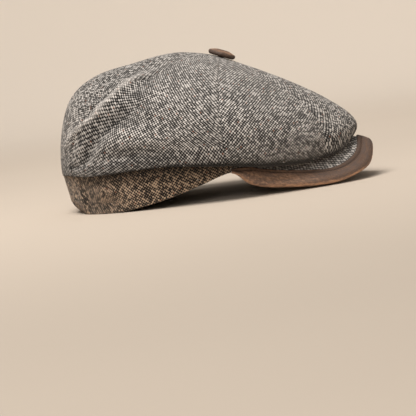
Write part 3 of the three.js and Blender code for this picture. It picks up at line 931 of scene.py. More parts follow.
class CAP_OT_crown(bpy.types.Operator):
    """Make the six tweed panels of the crown"""

    bl_idname = "cap.crown"
    bl_label = "Crown panels"

    # Painted shade: its plain level and darkest, darker in fold valleys and lighter on their ridges, darker
    # on the lower lip at the back and on the rear panels
    PLAIN_TONE = 0.86
    DARKEST_TONE = 0.4
    FOLD_SHADE_AND_LIGHT = 0.055
    LIP_SHADE = 0.35
    REAR_SHADE = 0.12
    # Raised nap with painted light near the button
    TOP_NAP_AND_LIGHT = 0.14
    HEM_THINNING = 0.4
    END_NARROWING = 0.25
    END_COSINES = (0.25, 0.9)
    LEAN_PLACE = 0.7
    LEAN_SPAN = 0.2

    # Turns off the front, in degrees, and places down the crown, over which painted shade and light and
    # sizes change
    REAR_TURNS = (135, 160)
    LIP_TURNS = (105, 128)
    LIP_PLACES = (0.90, 1.1)
    TOP_PLACES = (0.2, 0.6)
    HEM_PLACES = (1, 1.7)
    COLUMNS = {"front": 86, "temple": 72, "rear": 96, "back": 84}

    @staticmethod
    def directions(start, end, place, columns):
        """Directions across a panel at each place, close together along both seams."""
        low, high = np.radians(start), np.radians(end)
        middle = crown_plain((low + high) / 2, place)
        out = np.hypot(middle[:, 0], middle[:, 1])
        shrink = np.minimum(1, (high - low) * out / (5 * EDGE_STEPS[-1]))
        rim = EDGE_STEPS * (shrink / out)[:, None]
        inside = np.linspace(low + rim[:, -1], high - rim[:, -1], columns, axis=1)[:, 1:-1]
        return np.concatenate([low[:, None] + rim, inside, (high[:, None] - rim)[:, ::-1]], axis=1)

    def weave_map(self, turn, place, outer, plain, hand):
        """Flat place of each point in its panel's cloth, across and along the thread from the middle."""
        spread = 1 - self.END_NARROWING * smoothstep(np.abs(np.cos(turn)), *self.END_COSINES)
        leans = np.sum(unit(np.gradient(plain, axis=1)) * unit(np.gradient(plain, axis=0)), axis=-1)
        lean = np.average(leans, axis=0, weights=bell(place - self.LEAN_PLACE, self.LEAN_SPAN))
        across = lengths(outer, 1, spread * np.sqrt(1 - lean**2))
        rise = lengths(plain, 1, lean)
        middle = across.shape[1] // 2
        run = lengths(outer[:, middle], 0)
        weft = hand * (across - across[:, [middle]])
        return np.stack([weft, run[:, None] + rise - rise[:, [middle]]], axis=-1)

    def tones(self, turn, rows, plain, normal):
        """Painted shade of the cloth, unevenness of its yarn, and strength of its raised fibres with painted
        light, at each point.
        """
        off_front = np.abs(turned(np.degrees(turn), 0))
        behind = smoothstep(off_front, *self.REAR_TURNS)
        lip = smoothstep(rows, *self.LIP_PLACES) * smoothstep(off_front, *self.LIP_TURNS)
        # Painted shade in the fold valleys, painted highlight on their ridges, and painted shade on the
        # lower lip at the back
        folded = self.PLAIN_TONE * (1 + self.FOLD_SHADE_AND_LIGHT * crown_folds(turn, rows, plain))
        tone = np.clip(folded, self.DARKEST_TONE, 1) * (1 - self.LIP_SHADE * lip)
        away, strength = from_ridge(plain)
        # Raised nap, with painted highlight along the ridge and painted light near the top
        top_nap_and_light = self.TOP_NAP_AND_LIGHT * (1 - smoothstep(rows, *self.TOP_PLACES))
        return {
            "shade": hollow_shade(normal[..., 2], behind) * tone * (1 - self.REAR_SHADE * behind),
            "slub": yarn_slub(turn),
            "nap": strength * bell(away, NAP_AND_LIGHT_WIDTH) + top_nap_and_light,
        }

    def panel(self, name, start, end, columns, hand, cloth):
        dome = np.linspace(TIP_PLACE, 1, DOME_ROWS)
        place = np.concatenate([dome, np.linspace(1, 2, UNDER_ROWS)[1:]])
        turn = self.directions(start(place), end(place), place, columns)
        rows = np.broadcast_to(place[:, None], turn.shape)
        plain = crown_plain(turn, rows)
        outer = crown_surface(turn, rows)
        normal = normals(crown_surface, turn, rows)
        wall = cloth.wall / MM * (1 - self.HEM_THINNING * smoothstep(rows, *self.HEM_PLACES))
        inner = outer - normal * wall[..., None]
        keep_face(outer)
        uv = self.weave_map(turn, place, outer, plain, hand)
        piece = shell(name, outer, inner, uv, crown_tweed(cloth), self.tones(turn, rows, plain, normal))
        finish_piece(piece, TWEED_SLOT, name)

    def execute(self, context):
        cloth = context.scene.cap_cloth
        front, side, rear = (SEAMS[name] for name in ("front", "side", "rear"))

        def edge(seam, sign, whole=0):
            return lambda place: whole + sign * seam_at(seam, place)

        size = self.COLUMNS
        self.panel("crown_front", edge(front, -1), edge(front, 1), size["front"], -1, cloth)
        self.panel("crown_temple_left", edge(front, 1), edge(side, 1), size["temple"], 1, cloth)
        self.panel("crown_temple_right", edge(side, -1), edge(front, -1), size["temple"], -1, cloth)
        self.panel("crown_rear_left", edge(side, 1), edge(rear, 1), size["rear"], -1, cloth)
        self.panel("crown_rear_right", edge(rear, -1), edge(side, -1), size["rear"], 1, cloth)
        self.panel("crown_back", edge(rear, 1), edge(rear, -1, 360), size["back"], 1, cloth)
        return {"FINISHED"}


class CAP_OT_headband(bpy.types.Operator):
    """Make the tweed headband"""

    bl_idname = "cap.headband"
    bl_label = "Headband"

    STEPS = 360
    ROWS = 34
    RIM_POINTS = 7
    WALL = 2.6
    EDGE_ROUNDNESS = 0.35
    LEAST_CREASE = 0.35
    PUCKER_STRETCH = (1, 1, 0.3)
    TUCK = 8.0
    TUCK_SHARE = 0.36
    WEAVE_SCALE = 0.95
    SLUB = 1.6
    # Painted shade and light on the band: its plain level, its darkest, and how much darker its creases and
    # lighter its swellings are
    PLAIN_TONE = 0.9
    DARKEST_TONE = 0.5
    DENT_SHADE_AND_LIGHT = 0.13

    # Depth of the crown's painted shade on the band, and the shares of the band's height where it starts and
    # is full
    SIDE_DEPTH = 0.88
    BACK_DEPTH = 0.35
    SIDE_START = 0.45
    BACK_START = 0.7
    FULL_SHADE = 0.93

    # Turns off the front, in degrees, over which the painted shade changes and the band creases more and
    # tucks in
    SHADE_TURNS = (120, 150)
    CREASE_TURNS = (115, 150)
    TUCK_TURNS = (138, 170)

    # Loose fibres on the lowest rows would reach the floor
    BARE_ROWS = 6

    def execute(self, context):
        cloth = context.scene.cap_cloth
        angle = np.linspace(-np.pi, np.pi, self.STEPS + 1)
        share = np.linspace(0, 1, self.ROWS)
        inward = unit(points(-np.cos(angle) * HEAD_HALF_WIDTH, -np.sin(angle) * HEAD_HALF_LENGTH, 0))
        face = band_outer(angle[:, None], share[None, :])
        relief = self.relief(angle[:, None], share[None, :], face)
        face = face - inward[:, None] * relief[..., None]
        inner = face + inward[:, None] * self.WALL
        lower = self.rim(face[:, 0], inward, -1)
        upper = self.rim(face[:, -1], inward, 1)
        ring = np.concatenate([lower, face[:, 1:-1], upper, inner[:, -2:0:-1]], axis=1)
        ring[..., 2] = np.maximum(ring[..., 2], 0)
        self.build(angle, ring, face, cloth)
        return {"FINISHED"}

    def shade(self, angle, share):
        """Painted shade: dark close under the crown, most of all at the sides."""
        behind = smoothstep(np.degrees(np.abs(angle)), *self.SHADE_TURNS)
        depth = lerp(self.SIDE_DEPTH, self.BACK_DEPTH, behind)
        return 1 - depth * smoothstep(share, lerp(self.SIDE_START, self.BACK_START, behind), self.FULL_SHADE)

    def relief(self, angle, share, face):
        """How far the band stands out of its plain wall: creases, puckers and the tucked-in back edge."""
        degrees = np.degrees(angle)
        behind = smoothstep(np.abs(degrees), *self.CREASE_TURNS) * (1 - share)
        pucker = ripple(face * self.PUCKER_STRETCH, "pucker")
        relief = (ripple(face, "band") + pucker) * (self.LEAST_CREASE + behind)
        relief += dented(BAND_DENTS, degrees, share)
        tuck = self.TUCK * np.maximum(1 - share / self.TUCK_SHARE, 0) ** 2
        return relief - tuck * smoothstep(np.abs(degrees), *self.TUCK_TURNS)

    def rim(self, edge, inward, side):
        """A rounded edge between the two faces, below them (-1) or above them (1)."""
        half = self.WALL / 2
        turn = np.radians(np.linspace(-90, 90, self.RIM_POINTS))
        made = edge[:, None] + inward[:, None] * (half + side * half * np.sin(turn))[None, :, None]
        made[..., 2] += side * self.EDGE_ROUNDNESS * half * np.cos(turn)
        return made

    def build(self, angle, ring, face, cloth):
        closed = np.concatenate([ring, ring[:, :1]], axis=1)
        rows, columns = closed.shape[:2]
        around = lengths(face[:, face.shape[1] // 2], 0)
        uv = np.stack([np.broadcast_to(around[:, None], (rows, columns)), -lengths(closed, 1)], axis=-1)
        number = np.arange(rows * columns).reshape(rows, columns)
        weld = number.copy()
        weld[:, -1] = weld[:, 0]
        weld[-1] = weld[0]
        material = named_material("headband_tweed", tweed, cloth, tuple(cloth.band_tint))
        slub = np.broadcast_to(yarn_slub(angle)[:, None] + self.SLUB, (rows, columns))
        share = closed[..., 2] / closed[..., 2].max(axis=1, keepdims=True)
        # Painted shade in the band's creases and painted light on its swellings, with the crown's painted
        # shade over them
        dents = dented(BAND_DENTS, np.degrees(angle)[:, None], share)
        tone = np.clip(self.PLAIN_TONE + self.DENT_SHADE_AND_LIGHT * dents, self.DARKEST_TONE, 1)
        tones = {"shade": (self.shade(angle[:, None], share) * tone).ravel(), "slub": slub.ravel()}
        flat = uv.reshape(-1, 2) * self.WEAVE_SCALE
        faces = grid_faces(rows, columns)
        piece = make_piece("headband", closed.reshape(-1, 3), faces, flat, material, weld.ravel(), tones)
        keep_face(face[:, self.BARE_ROWS:])
        finish_piece(piece, BAND_SLOT, "headband")


class CAP_OT_peak(bpy.types.Operator):
    """Make the tweed-covered board of the peak"""

    bl_idname = "cap.peak"
    bl_label = "Peak"

    STEPS = 220
    ROWS = 30
    EDGE = 3.6
    NOSE_POINTS = 5
    NOSE_TURN = 70
    NOSE_LENGTH = 0.8
    WEAVE_SCALE = 0.58
    SLUB = 2.2
    # Raised nap with painted light over the whole peak
    NAP_AND_LIGHT = 0.30

    # Painted shadow under the crown's overhang: its tone, and where it begins and ends, from the crown's
    # fullest line
    OVERHANG_SHADE = 0.8
    HIDDEN_PAST = (-30, -16)

    def execute(self, context):
        cloth = context.scene.cap_cloth
        surface = PeakSurface(np.linspace(0, 1, self.STEPS + 1))
        width = surface.width[:, None]
        half = PEAK_HALF * surface.thinning()
        inset = lerp(width, self.EDGE, np.linspace(0, 1, self.ROWS + 1)[None])
        top = surface.at(inset, half)
        top[..., 2] += ripple(top, "peak")
        bottom = surface.at(inset, -half)
        nose = np.radians(np.linspace(self.NOSE_TURN, -self.NOSE_TURN, self.NOSE_POINTS))[None]
        edge = surface.at(self.EDGE - self.NOSE_LENGTH * half * np.cos(nose), half * np.sin(nose))
        top[:, 0] = surface.root + half * (0, 0, 1)
        bottom[:, 0] = surface.root - half * (0, 0, 1)
        ring = np.concatenate([top, edge, bottom[:, ::-1]], axis=1)
        closed = np.concatenate([ring, ring[:, :1]], axis=1)
        rows, columns = closed.shape[:2]
        run = lengths(surface.edge, 0)
        uv = np.stack([np.broadcast_to(run[:, None], (rows, columns)), lengths(closed, 1)], axis=-1)
        number = np.arange(rows * columns).reshape(rows, columns)
        weld = number.copy()
        weld[:, -1] = weld[:, 0]
        faces = np.concatenate([grid_faces(rows, columns), self.ends(number)])
        # Painted shadow under the crown's overhang, and raised nap with painted light all over
        tones = {
            "shade": self.shade(closed).ravel(),
            "slub": np.full(weld.size, self.SLUB),
            "nap": np.full(weld.size, self.NAP_AND_LIGHT),
        }
        flat = uv.reshape(-1, 2) * self.WEAVE_SCALE
        material = crown_tweed(cloth)
        piece = make_piece("peak", closed.reshape(-1, 3), faces, flat, material, weld.ravel(), tones)
        keep_face(top)
        finish_piece(piece, TWEED_SLOT, "peak")
        return {"FINISHED"}

    def shade(self, place):
        """Painted shadow: dark where the crown hangs over the peak."""
        turn = np.abs(np.arctan2(place[..., 1], place[..., 0]))
        reach = column(CROWN, "reach", np.degrees(turn))
        past = np.hypot(place[..., 0], place[..., 1]) - reach
        return lerp(self.OVERHANG_SHADE, 1, smoothstep(past, *self.HIDDEN_PAST))

    @staticmethod
    def ends(number):
        """Quads that close both ends of the board, between its upper and lower faces."""
        made = []
        count = number.shape[1] - 1
        for line, flipped in ((number[0], False), (number[-1], True)):
            for side in range(count // 2 - 1):
                quad = [line[side], line[count - 1 - side], line[count - 2 - side], line[side + 1]]
                made.append(quad[::-1] if flipped else quad)
        return np.array(made)


class CAP_OT_binding(bpy.types.Operator):
    """Make the leather binding round the peak's edge, with its stitched groove"""

    bl_idname = "cap.binding"
    bl_label = "Leather binding"

    STEPS = 320
    TOP_POINTS = 22
    BEND_POINTS = 17
    LOWER_POINTS = 12
    HALF = 3.6
    SHARE = 0.82
    SIDE_EXTRA = 4.0
    SHARE_BELOW = 0.6
    STITCH_SHARE = 0.3
    GROOVE_DEPTH = 0.32
    GROOVE_WIDTH = 0.8
    LIP = 0.9
    LIP_WIDTH = 0.45

    # Rubbed pale round the outer edge, and painted light along the sides
    RUB = 0.95
    RUB_WIDTH = 3.4
    RUB_OFFSET = 1.0
    SIDE_LIGHT = 0.48

    # Soiled in the stitched groove and at the inner edge, and darker along a crease near both ends
    GROOVE_SOIL = 0.65
    GROOVE_SOIL_WIDTH = 1.5
    EDGE_SOIL = 0.4
    EDGE_SOIL_WIDTH = 0.9
    CREASE_AT = 6
    CREASE_LENGTH = 5
    CREASE_SHARE = 0.55
    CREASE_WIDTH = 1.6

    @classmethod
    def breadth(cls, surface, hides):
        """Width of the binding on the peak: wider along the sides, less where the peak itself is narrow."""
        full = hides.binding_width / MM + cls.SIDE_EXTRA * surface.beside
        return np.minimum(full, surface.width[:, None] * cls.SHARE)

    @classmethod
    def groove_inset(cls, wide, hides):
        """Distance of the stitched groove from the binding's inner edge."""
        return np.minimum(hides.stitch_inset / MM, wide * cls.STITCH_SHARE)

    def face(self, surface, hides, radius, groove):
        """One face of the binding: over the peak, round its edge and back under it."""
        wide = self.breadth(surface, hides)
        lower = np.minimum(hides.binding_below / MM, surface.width[:, None] * self.SHARE_BELOW)
        radius = radius * surface.thinning()
        inset = lerp(wide, self.HALF, np.linspace(0, 1, self.TOP_POINTS)[None])
        from_rim = wide - inset
        depth = groove * bell(from_rim - self.groove_inset(wide, hides), self.GROOVE_WIDTH)
        lip = groove * self.LIP * bell(from_rim, self.LIP_WIDTH)
        turn = np.radians(np.linspace(90, -90, self.BEND_POINTS + 2))[None, 1:-1]
        under = lerp(self.HALF, lower, np.linspace(0, 1, self.LOWER_POINTS)[None])
        return np.concatenate([
            surface.at(inset, radius - depth - lip),
            surface.at(self.HALF - radius * np.cos(turn), radius * np.sin(turn)),
            surface.at(under, -radius),
        ], axis=1)

    def tones(self, surface, hides, run, across):
        """Tones of the leather at each point: rubbed pale round the outer edge, painted light along the
        sides, dirtied in the groove and at the inner edge, and darker along a crease near both ends.
        """
        wide = self.breadth(surface, hides)
        outermost = across[:, [self.TOP_POINTS + self.BEND_POINTS // 2]]
        rub = bell(across - outermost - self.RUB_OFFSET, self.RUB_WIDTH) * self.RUB
        groove = bell(across - self.groove_inset(wide, hides), self.GROOVE_SOIL_WIDTH) * self.GROOVE_SOIL
        soil = groove + bell(across, self.EDGE_SOIL_WIDTH) * self.EDGE_SOIL
        to_end = np.minimum(run, run[-1] - run)[:, None]
        crease = bell(to_end - self.CREASE_AT, self.CREASE_LENGTH)
        crease = crease * bell(across - wide * self.CREASE_SHARE, self.CREASE_WIDTH)
        # Painted light along the sides joins the rubbed outer edge
        return {"rub": np.maximum(rub, self.SIDE_LIGHT * surface.beside), "soil": np.clip(soil + crease, 0, 1)}

    def execute(self, context):
        hides = context.scene.cap_leather
        surface = PeakSurface(np.linspace(0, 1, self.STEPS + 1))
        outer = self.face(surface, hides, self.HALF, self.GROOVE_DEPTH)
        outer[..., 2] += ripple(outer, "binding")
        inner = self.face(surface, hides, self.HALF - hides.thickness / MM, 0)
        for grid in (outer, inner):
            grid[..., 2] = np.maximum(grid[..., 2], 0)
        run = lengths(surface.edge, 0)
        across = lengths(outer, 1)
        uv = np.stack([np.broadcast_to(run[:, None], across.shape), across], axis=-1)
        material = named_material("brown_leather", leather, hides)
        piece = shell("peak_binding", outer, inner, uv, material, self.tones(surface, hides, run, across))
        finish_piece(piece, LEATHER_SLOT, "peak_binding")
        return {"FINISHED"}


def add_inputs(tree, sizes):
    """Named inputs of a geometry tree: its geometry and its sizes."""
    tree.interface.new_socket("Geometry", in_out="INPUT", socket_type="NodeSocketGeometry")
    for name, kind in sizes.items():
        tree.interface.new_socket(name, in_out="INPUT", socket_type=kind)
    tree.interface.new_socket("Geometry", in_out="OUTPUT", socket_type="NodeSocketGeometry")
    return Tree(tree)


def end_tree(tree, given, instances):
    """The end of a geometry tree: its instances made real, in the material that it is given."""
    real = tree.node("GeometryNodeRealizeInstances", {}, {0: instances})
    sockets = {"Geometry": real, "Material": tree.other(given, "Material")}
    dressed = tree.node("GeometryNodeSetMaterial", {}, sockets)
    tree.node("NodeGroupOutput", {}, {"Geometry": dressed})


def grow(name, mesh, tree, values):
    """A plain mesh piece from a geometry tree run on a mesh."""
    source = bpy.data.objects.new(name + "_source", mesh)
    bpy.context.scene.collection.objects.link(source)
    modifier = source.modifiers.new(name, "NODES")
    modifier.node_group = tree
    for item in tree.interface.items_tree:
        if item.in_out == "INPUT" and item.name in values:
            modifier[item.identifier] = values[item.name]
    depsgraph = bpy.context.evaluated_depsgraph_get()
    made = bpy.data.meshes.new_from_object(source.evaluated_get(depsgraph))
    bpy.data.objects.remove(source)
    made.name = name
    piece = bpy.data.objects.new(name, made)
    bpy.context.scene.collection.objects.link(piece)
    return piece


class CAP_OT_stitches(bpy.types.Operator):
    """Sew the binding's stitches along its groove, on the peak and under it"""

    bl_idname = "cap.stitches"
    bl_label = "Stitches"

    STEPS = 300
    ENDS = 0.045
    LIFT_ABOVE = 0.12
    LIFT_BELOW = 0.02

    def rows_of_stitches(self, hides):
        """A mesh of two lines that the stitches follow: along the groove and under the peak."""
        surface = PeakSurface(np.linspace(self.ENDS, 1 - self.ENDS, self.STEPS + 1))
        wide = CAP_OT_binding.breadth(surface, hides)
        inset = wide - CAP_OT_binding.groove_inset(wide, hides)
        groove = CAP_OT_binding.HALF - CAP_OT_binding.GROOVE_DEPTH
        above = surface.at(inset, groove + self.LIFT_ABOVE)[:, 0]
        below = surface.at(inset, -CAP_OT_binding.HALF - self.LIFT_BELOW)[:, 0]
        below[:, 2] = np.maximum(below[:, 2], hides.stitch_radius / MM)
        mesh = bpy.data.meshes.new("stitch_lines")
        place = (np.concatenate([above, below]) + TO_FRAME) * MM
        line = np.arange(self.STEPS)
        steps = np.stack([line, line + 1], axis=-1)
        edges = np.concatenate([steps, steps + self.STEPS + 1])
        mesh.from_pydata(place, edges.tolist(), [])
        return mesh

    @staticmethod
    def stitch_tree():
        """Long stitches at an even pitch along a line."""
        group = bpy.data.node_groups.new("stitch_run", "GeometryNodeTree")
        sizes = {
            "Pitch": "NodeSocketFloat", "Length": "NodeSocketFloat",
            "Radius": "NodeSocketFloat", "Material": "NodeSocketMaterial",
        }
        tree = add_inputs(group, sizes)
        given = tree.node("NodeGroupInput", {}, {}, "Geometry")
        line = tree.node("GeometryNodeMeshToCurve", {}, {"Mesh": given})
        sockets = {"Curve": line, "Length": tree.other(given, "Pitch")}
        run = tree.node("GeometryNodeResampleCurve", {"mode": "LENGTH"}, sockets)
        stitch = tree.node("GeometryNodeMeshUVSphere", {}, {"Segments": 6, "Rings": 5, "Radius": 1.0})
        tangent = tree.node("GeometryNodeInputTangent")
        facing = tree.node("FunctionNodeAlignRotationToVector", {"axis": "Z"}, {"Vector": tangent})
        radius = tree.other(given, "Radius")
        half_length = tree.other(given, "Length") * 0.5
        size = tree.node("ShaderNodeCombineXYZ", {}, {"X": radius, "Y": radius, "Z": half_length})
        sewn = tree.node(
            "GeometryNodeInstanceOnPoints", {},
            {"Points": run, "Instance": stitch, "Rotation": facing, "Scale": size},
        )
        end_tree(tree, given, sewn)
        return group

    def execute(self, context):
        hides = context.scene.cap_leather
        values = {
            "Pitch": hides.stitch_pitch,
            "Length": hides.stitch_length,
            "Radius": hides.stitch_radius,
            "Material": named_material("waxed_thread", thread, hides),
        }
        piece = grow("binding_stitches", self.rows_of_stitches(hides), self.stitch_tree(), values)
        piece.data.polygons.foreach_set("use_smooth", np.ones(len(piece.data.polygons), bool))
        finish_piece(piece, LEATHER_SLOT)
        return {"FINISHED"}


class CAP_OT_button(bpy.types.Operator):
    """Make the leather-covered button"""

    bl_idname = "cap.button"
    bl_label = "Button"

    RADIUS = 12.0
    HEIGHT = 6.1
    BEAD = 2.3
    BEAD_TURNS = (-75, 35)
    BEAD_POINTS = 12
    DOME_POINTS = 22
    DOME_POWER = 2.6
    SEAT = 10.2
    SEAT_LIFT = 0.1
    SHANK = 2.6
    SHANK_LENGTH = 5.0
    SHANK_MARGIN = 0.1
    SIDE_STRETCH = 0.7
    CLEARANCE = 0.3
    SIDES = 96

    # Gathers of the leather round the rim, closer together on some stretches
    GATHER = 0.10
    GATHERS = 13
    GATHER_DRIFT = 2
    GATHER_STRETCHES = 3
    GATHER_RADII = (8.5, 11.5)

    # Rubbed round the top and soiled all over, with painted shade under the rim
    RUB_HEIGHTS = (2.2, 3.6)
    RUB_RADIUS = 8.5
    RUB_WIDTH = 3.0
    SOIL = 0.4
    RIM_SHADE = 0.5
    RIM_HEIGHT = 1.0
    RIM_WIDTH = 1.4
    RIM_INSIDE = 8

    def profile(self):
        """Points out and up, from the shank's foot to the middle of the dome."""
        rim = np.radians(np.linspace(*self.BEAD_TURNS, self.BEAD_POINTS))
        bead_out = self.RADIUS + self.BEAD * (np.cos(rim) - 1)
        bead_up = self.SEAT_LIFT + self.BEAD * (1 + np.sin(rim))
        share = np.linspace(1, 0, self.DOME_POINTS)[1:]
        dome_out = bead_out[-1] * share
        dome_up = self.HEIGHT - (self.HEIGHT - bead_up[-1]) * share**self.DOME_POWER
        out = np.concatenate([[0, self.SHANK, self.SHANK, self.SEAT], bead_out, dome_out])
        foot = -self.SHANK_LENGTH
        up = np.concatenate([[foot, foot, 0, self.SEAT_LIFT], bead_up, dome_up])
        return out, up

    def execute(self, context):
        hides = context.scene.cap_leather
        out, up = self.profile()
        turn = np.linspace(0, 2 * np.pi, self.SIDES + 1)[:, None]
        drift = self.GATHER_DRIFT * np.sin(turn * self.GATHER_STRETCHES)
        gather = self.GATHER * np.cos(turn * self.GATHERS + drift)
        wide = out + gather * smoothstep(out, *self.GATHER_RADII)
        grid = points(wide * np.cos(turn), wide * np.sin(turn), up + 0 * turn)
        grid[..., 2] += ripple(grid, "button") * (out > self.SHANK + self.SHANK_MARGIN)
        tilt = math.atan(BUTTON_TILT)
        x, z = grid[..., 0].copy(), grid[..., 2].copy()
        grid[..., 0] = x * math.cos(tilt) + z * math.sin(tilt)
        grid[..., 2] = z * math.cos(tilt) - x * math.sin(tilt) + BUTTON_SEAT + self.CLEARANCE
        rows, columns = grid.shape[:2]
        uv = np.stack([out * np.cos(turn), out * np.sin(turn) + up * self.SIDE_STRETCH], axis=-1)
        number = np.arange(rows * columns).reshape(rows, columns)
        weld = number.copy()
        weld[-1] = weld[0]
        weld[:, 0] = number[0, 0]
        weld[:, -1] = number[0, -1]
        rub = smoothstep(up, *self.RUB_HEIGHTS) * bell(out - self.RUB_RADIUS, self.RUB_WIDTH)
        # Painted shade on the lower bead, under the rim
        rim = bell(up - self.RIM_HEIGHT, self.RIM_WIDTH) * (out > self.RIM_INSIDE)
        soil = self.SOIL + self.RIM_SHADE * rim
        tones = {"rub": np.tile(rub, rows), "soil": np.tile(soil, rows)}
        material = named_material("brown_leather", leather, hides)
        faces = grid_faces(rows, columns)
        flat = uv.reshape(-1, 2)
        piece = make_piece("button", grid.reshape(-1, 3), faces, flat, material, weld.ravel(), tones)
        piece.data.validate()
        finish_piece(piece, LEATHER_SLOT, "button")
        return {"FINISHED"}


class CAP_OT_wool(bpy.types.Operator):
    """Grow loose fibres and woolly specks on the tweed"""

    bl_idname = "cap.wool"
    bl_label = "Loose wool"

    # Range of tilt in radians, shortest share of the full size and seed
    FIBRE_DRAW = ((0.7, 1.5), 0.35, 17)
    SPECK_DRAW = ((0.0, 0.4), 0.5, 29)

    # Colours of the wool at each share of all fibres or specks
    FIBRE_TONES = (
        (0.0, (0.03, 0.027, 0.025)),
        (0.4, (0.22, 0.20, 0.18)),
        (1.0, (0.74, 0.69, 0.63)),
    )
    NEP_TONES = (
        (0.0, (0.80, 0.74, 0.66)),
        (0.55, (0.62, 0.56, 0.50)),
        (0.72, (0.36, 0.12, 0.055)),
        (0.80, (0.05, 0.042, 0.038)),
        (1.0, (0.03, 0.026, 0.024)),
    )

    @staticmethod
    def ground():
        """One mesh of all the cloth's outer faces, to grow from."""
        place, faces, start = [], [], 0
        for face_points, face_quads in grown_on:
            place.append(face_points)
            faces.append(face_quads + start)
            start += len(face_points)
        mesh = bpy.data.meshes.new("cloth_face")
        mesh.from_pydata((np.concatenate(place) + TO_FRAME) * MM, [], np.concatenate(faces).tolist())
        return mesh

    @staticmethod
    def scatter_tree(name, grain, tilt, shortest, seed):
        """Instances of one grain all over a face, each with its own turn, size and tone."""
        group = bpy.data.node_groups.new(name, "GeometryNodeTree")
        sizes = {"Density": "NodeSocketFloat", "Size": "NodeSocketFloat", "Material": "NodeSocketMaterial"}
        tree = add_inputs(group, sizes)
        given = tree.node("NodeGroupInput", {}, {}, "Geometry")
        spots = tree.node(
            "GeometryNodeDistributePointsOnFaces", {"distribute_method": "RANDOM"},
            {"Mesh": given, "Density": tree.other(given, "Density"), "Seed": seed},
        )

        def draw_number(low, high, extra):
            sockets = {"Min_001": low, "Max_001": high, "Seed": seed + extra}
            return tree.node("FunctionNodeRandomValue", {"data_type": "FLOAT"}, sockets, "Value_001")

        turns = {0: (tilt[0], 0.0, 0.0), 1: (tilt[1], 0.0, 2 * math.pi), "Seed": seed + 1}
        lean = tree.node("FunctionNodeRandomValue", {"data_type": "FLOAT_VECTOR"}, turns)
        leaning = tree.node("FunctionNodeEulerToRotation", {}, {0: lean})
        facing = tree.node(
            "FunctionNodeRotateRotation", {"rotation_space": "LOCAL"},
            {0: tree.other(spots, "Rotation"), 1: leaning},
        )
        size = tree.other(given, "Size") * draw_number(shortest, 1.0, 2)
        placed = tree.node(
            "GeometryNodeInstanceOnPoints", {},
            {"Points": spots, "Instance": grain(tree), "Rotation": facing, "Scale": size},
        )
        with_tone = tree.node(
            "GeometryNodeStoreNamedAttribute", {"data_type": "FLOAT", "domain": "INSTANCE"},
            {"Geometry": placed, "Name": "tone", "Value": draw_number(0.0, 1.0, 3)},
        )
        end_tree(tree, given, with_tone)
        return group

    @staticmethod
    def fibre(tree):
        """A fibre of length 1, thinner at its tip."""
        sockets = {
            "Vertices": 3, "Side Segments": 1, "Fill Segments": 1,
            "Radius Top": 0.008, "Radius Bottom": 0.018, "Depth": 1.0,
        }
        return tree.node("GeometryNodeMeshCone", {"fill_type": "NGON"}, sockets)

    @staticmethod
    def speck(tree):
        """A flattened speck of radius 1."""
        ball = tree.node("GeometryNodeMeshIcoSphere", {}, {"Radius": 1.0, "Subdivisions": 1})
        return tree.node("GeometryNodeTransform", {}, {"Geometry": ball, "Scale": (1.0, 0.75, 0.5)})

    def execute(self, context):
        cloth = context.scene.cap_cloth
        fibres = {
            "Density": cloth.fibres,
            "Size": cloth.fibre_length,
            "Material": named_material("loose_fibre", fibre_wool, self.FIBRE_TONES),
        }
        specks = {
            "Density": cloth.neps,
            "Size": cloth.nep_size,
            "Material": named_material("woolly_speck", fibre_wool, self.NEP_TONES),
        }
        fibre_tree = self.scatter_tree("loose_fibres", self.fibre, *self.FIBRE_DRAW)
        speck_tree = self.scatter_tree("woolly_specks", self.speck, *self.SPECK_DRAW)
        for name, tree, values in (
            ("loose_fibres", fibre_tree, fibres),
            ("woolly_specks", speck_tree, specks),
        ):
            piece = grow(name, self.ground(), tree, values)
            finish_piece(piece, TWEED_SLOT)
        return {"FINISHED"}


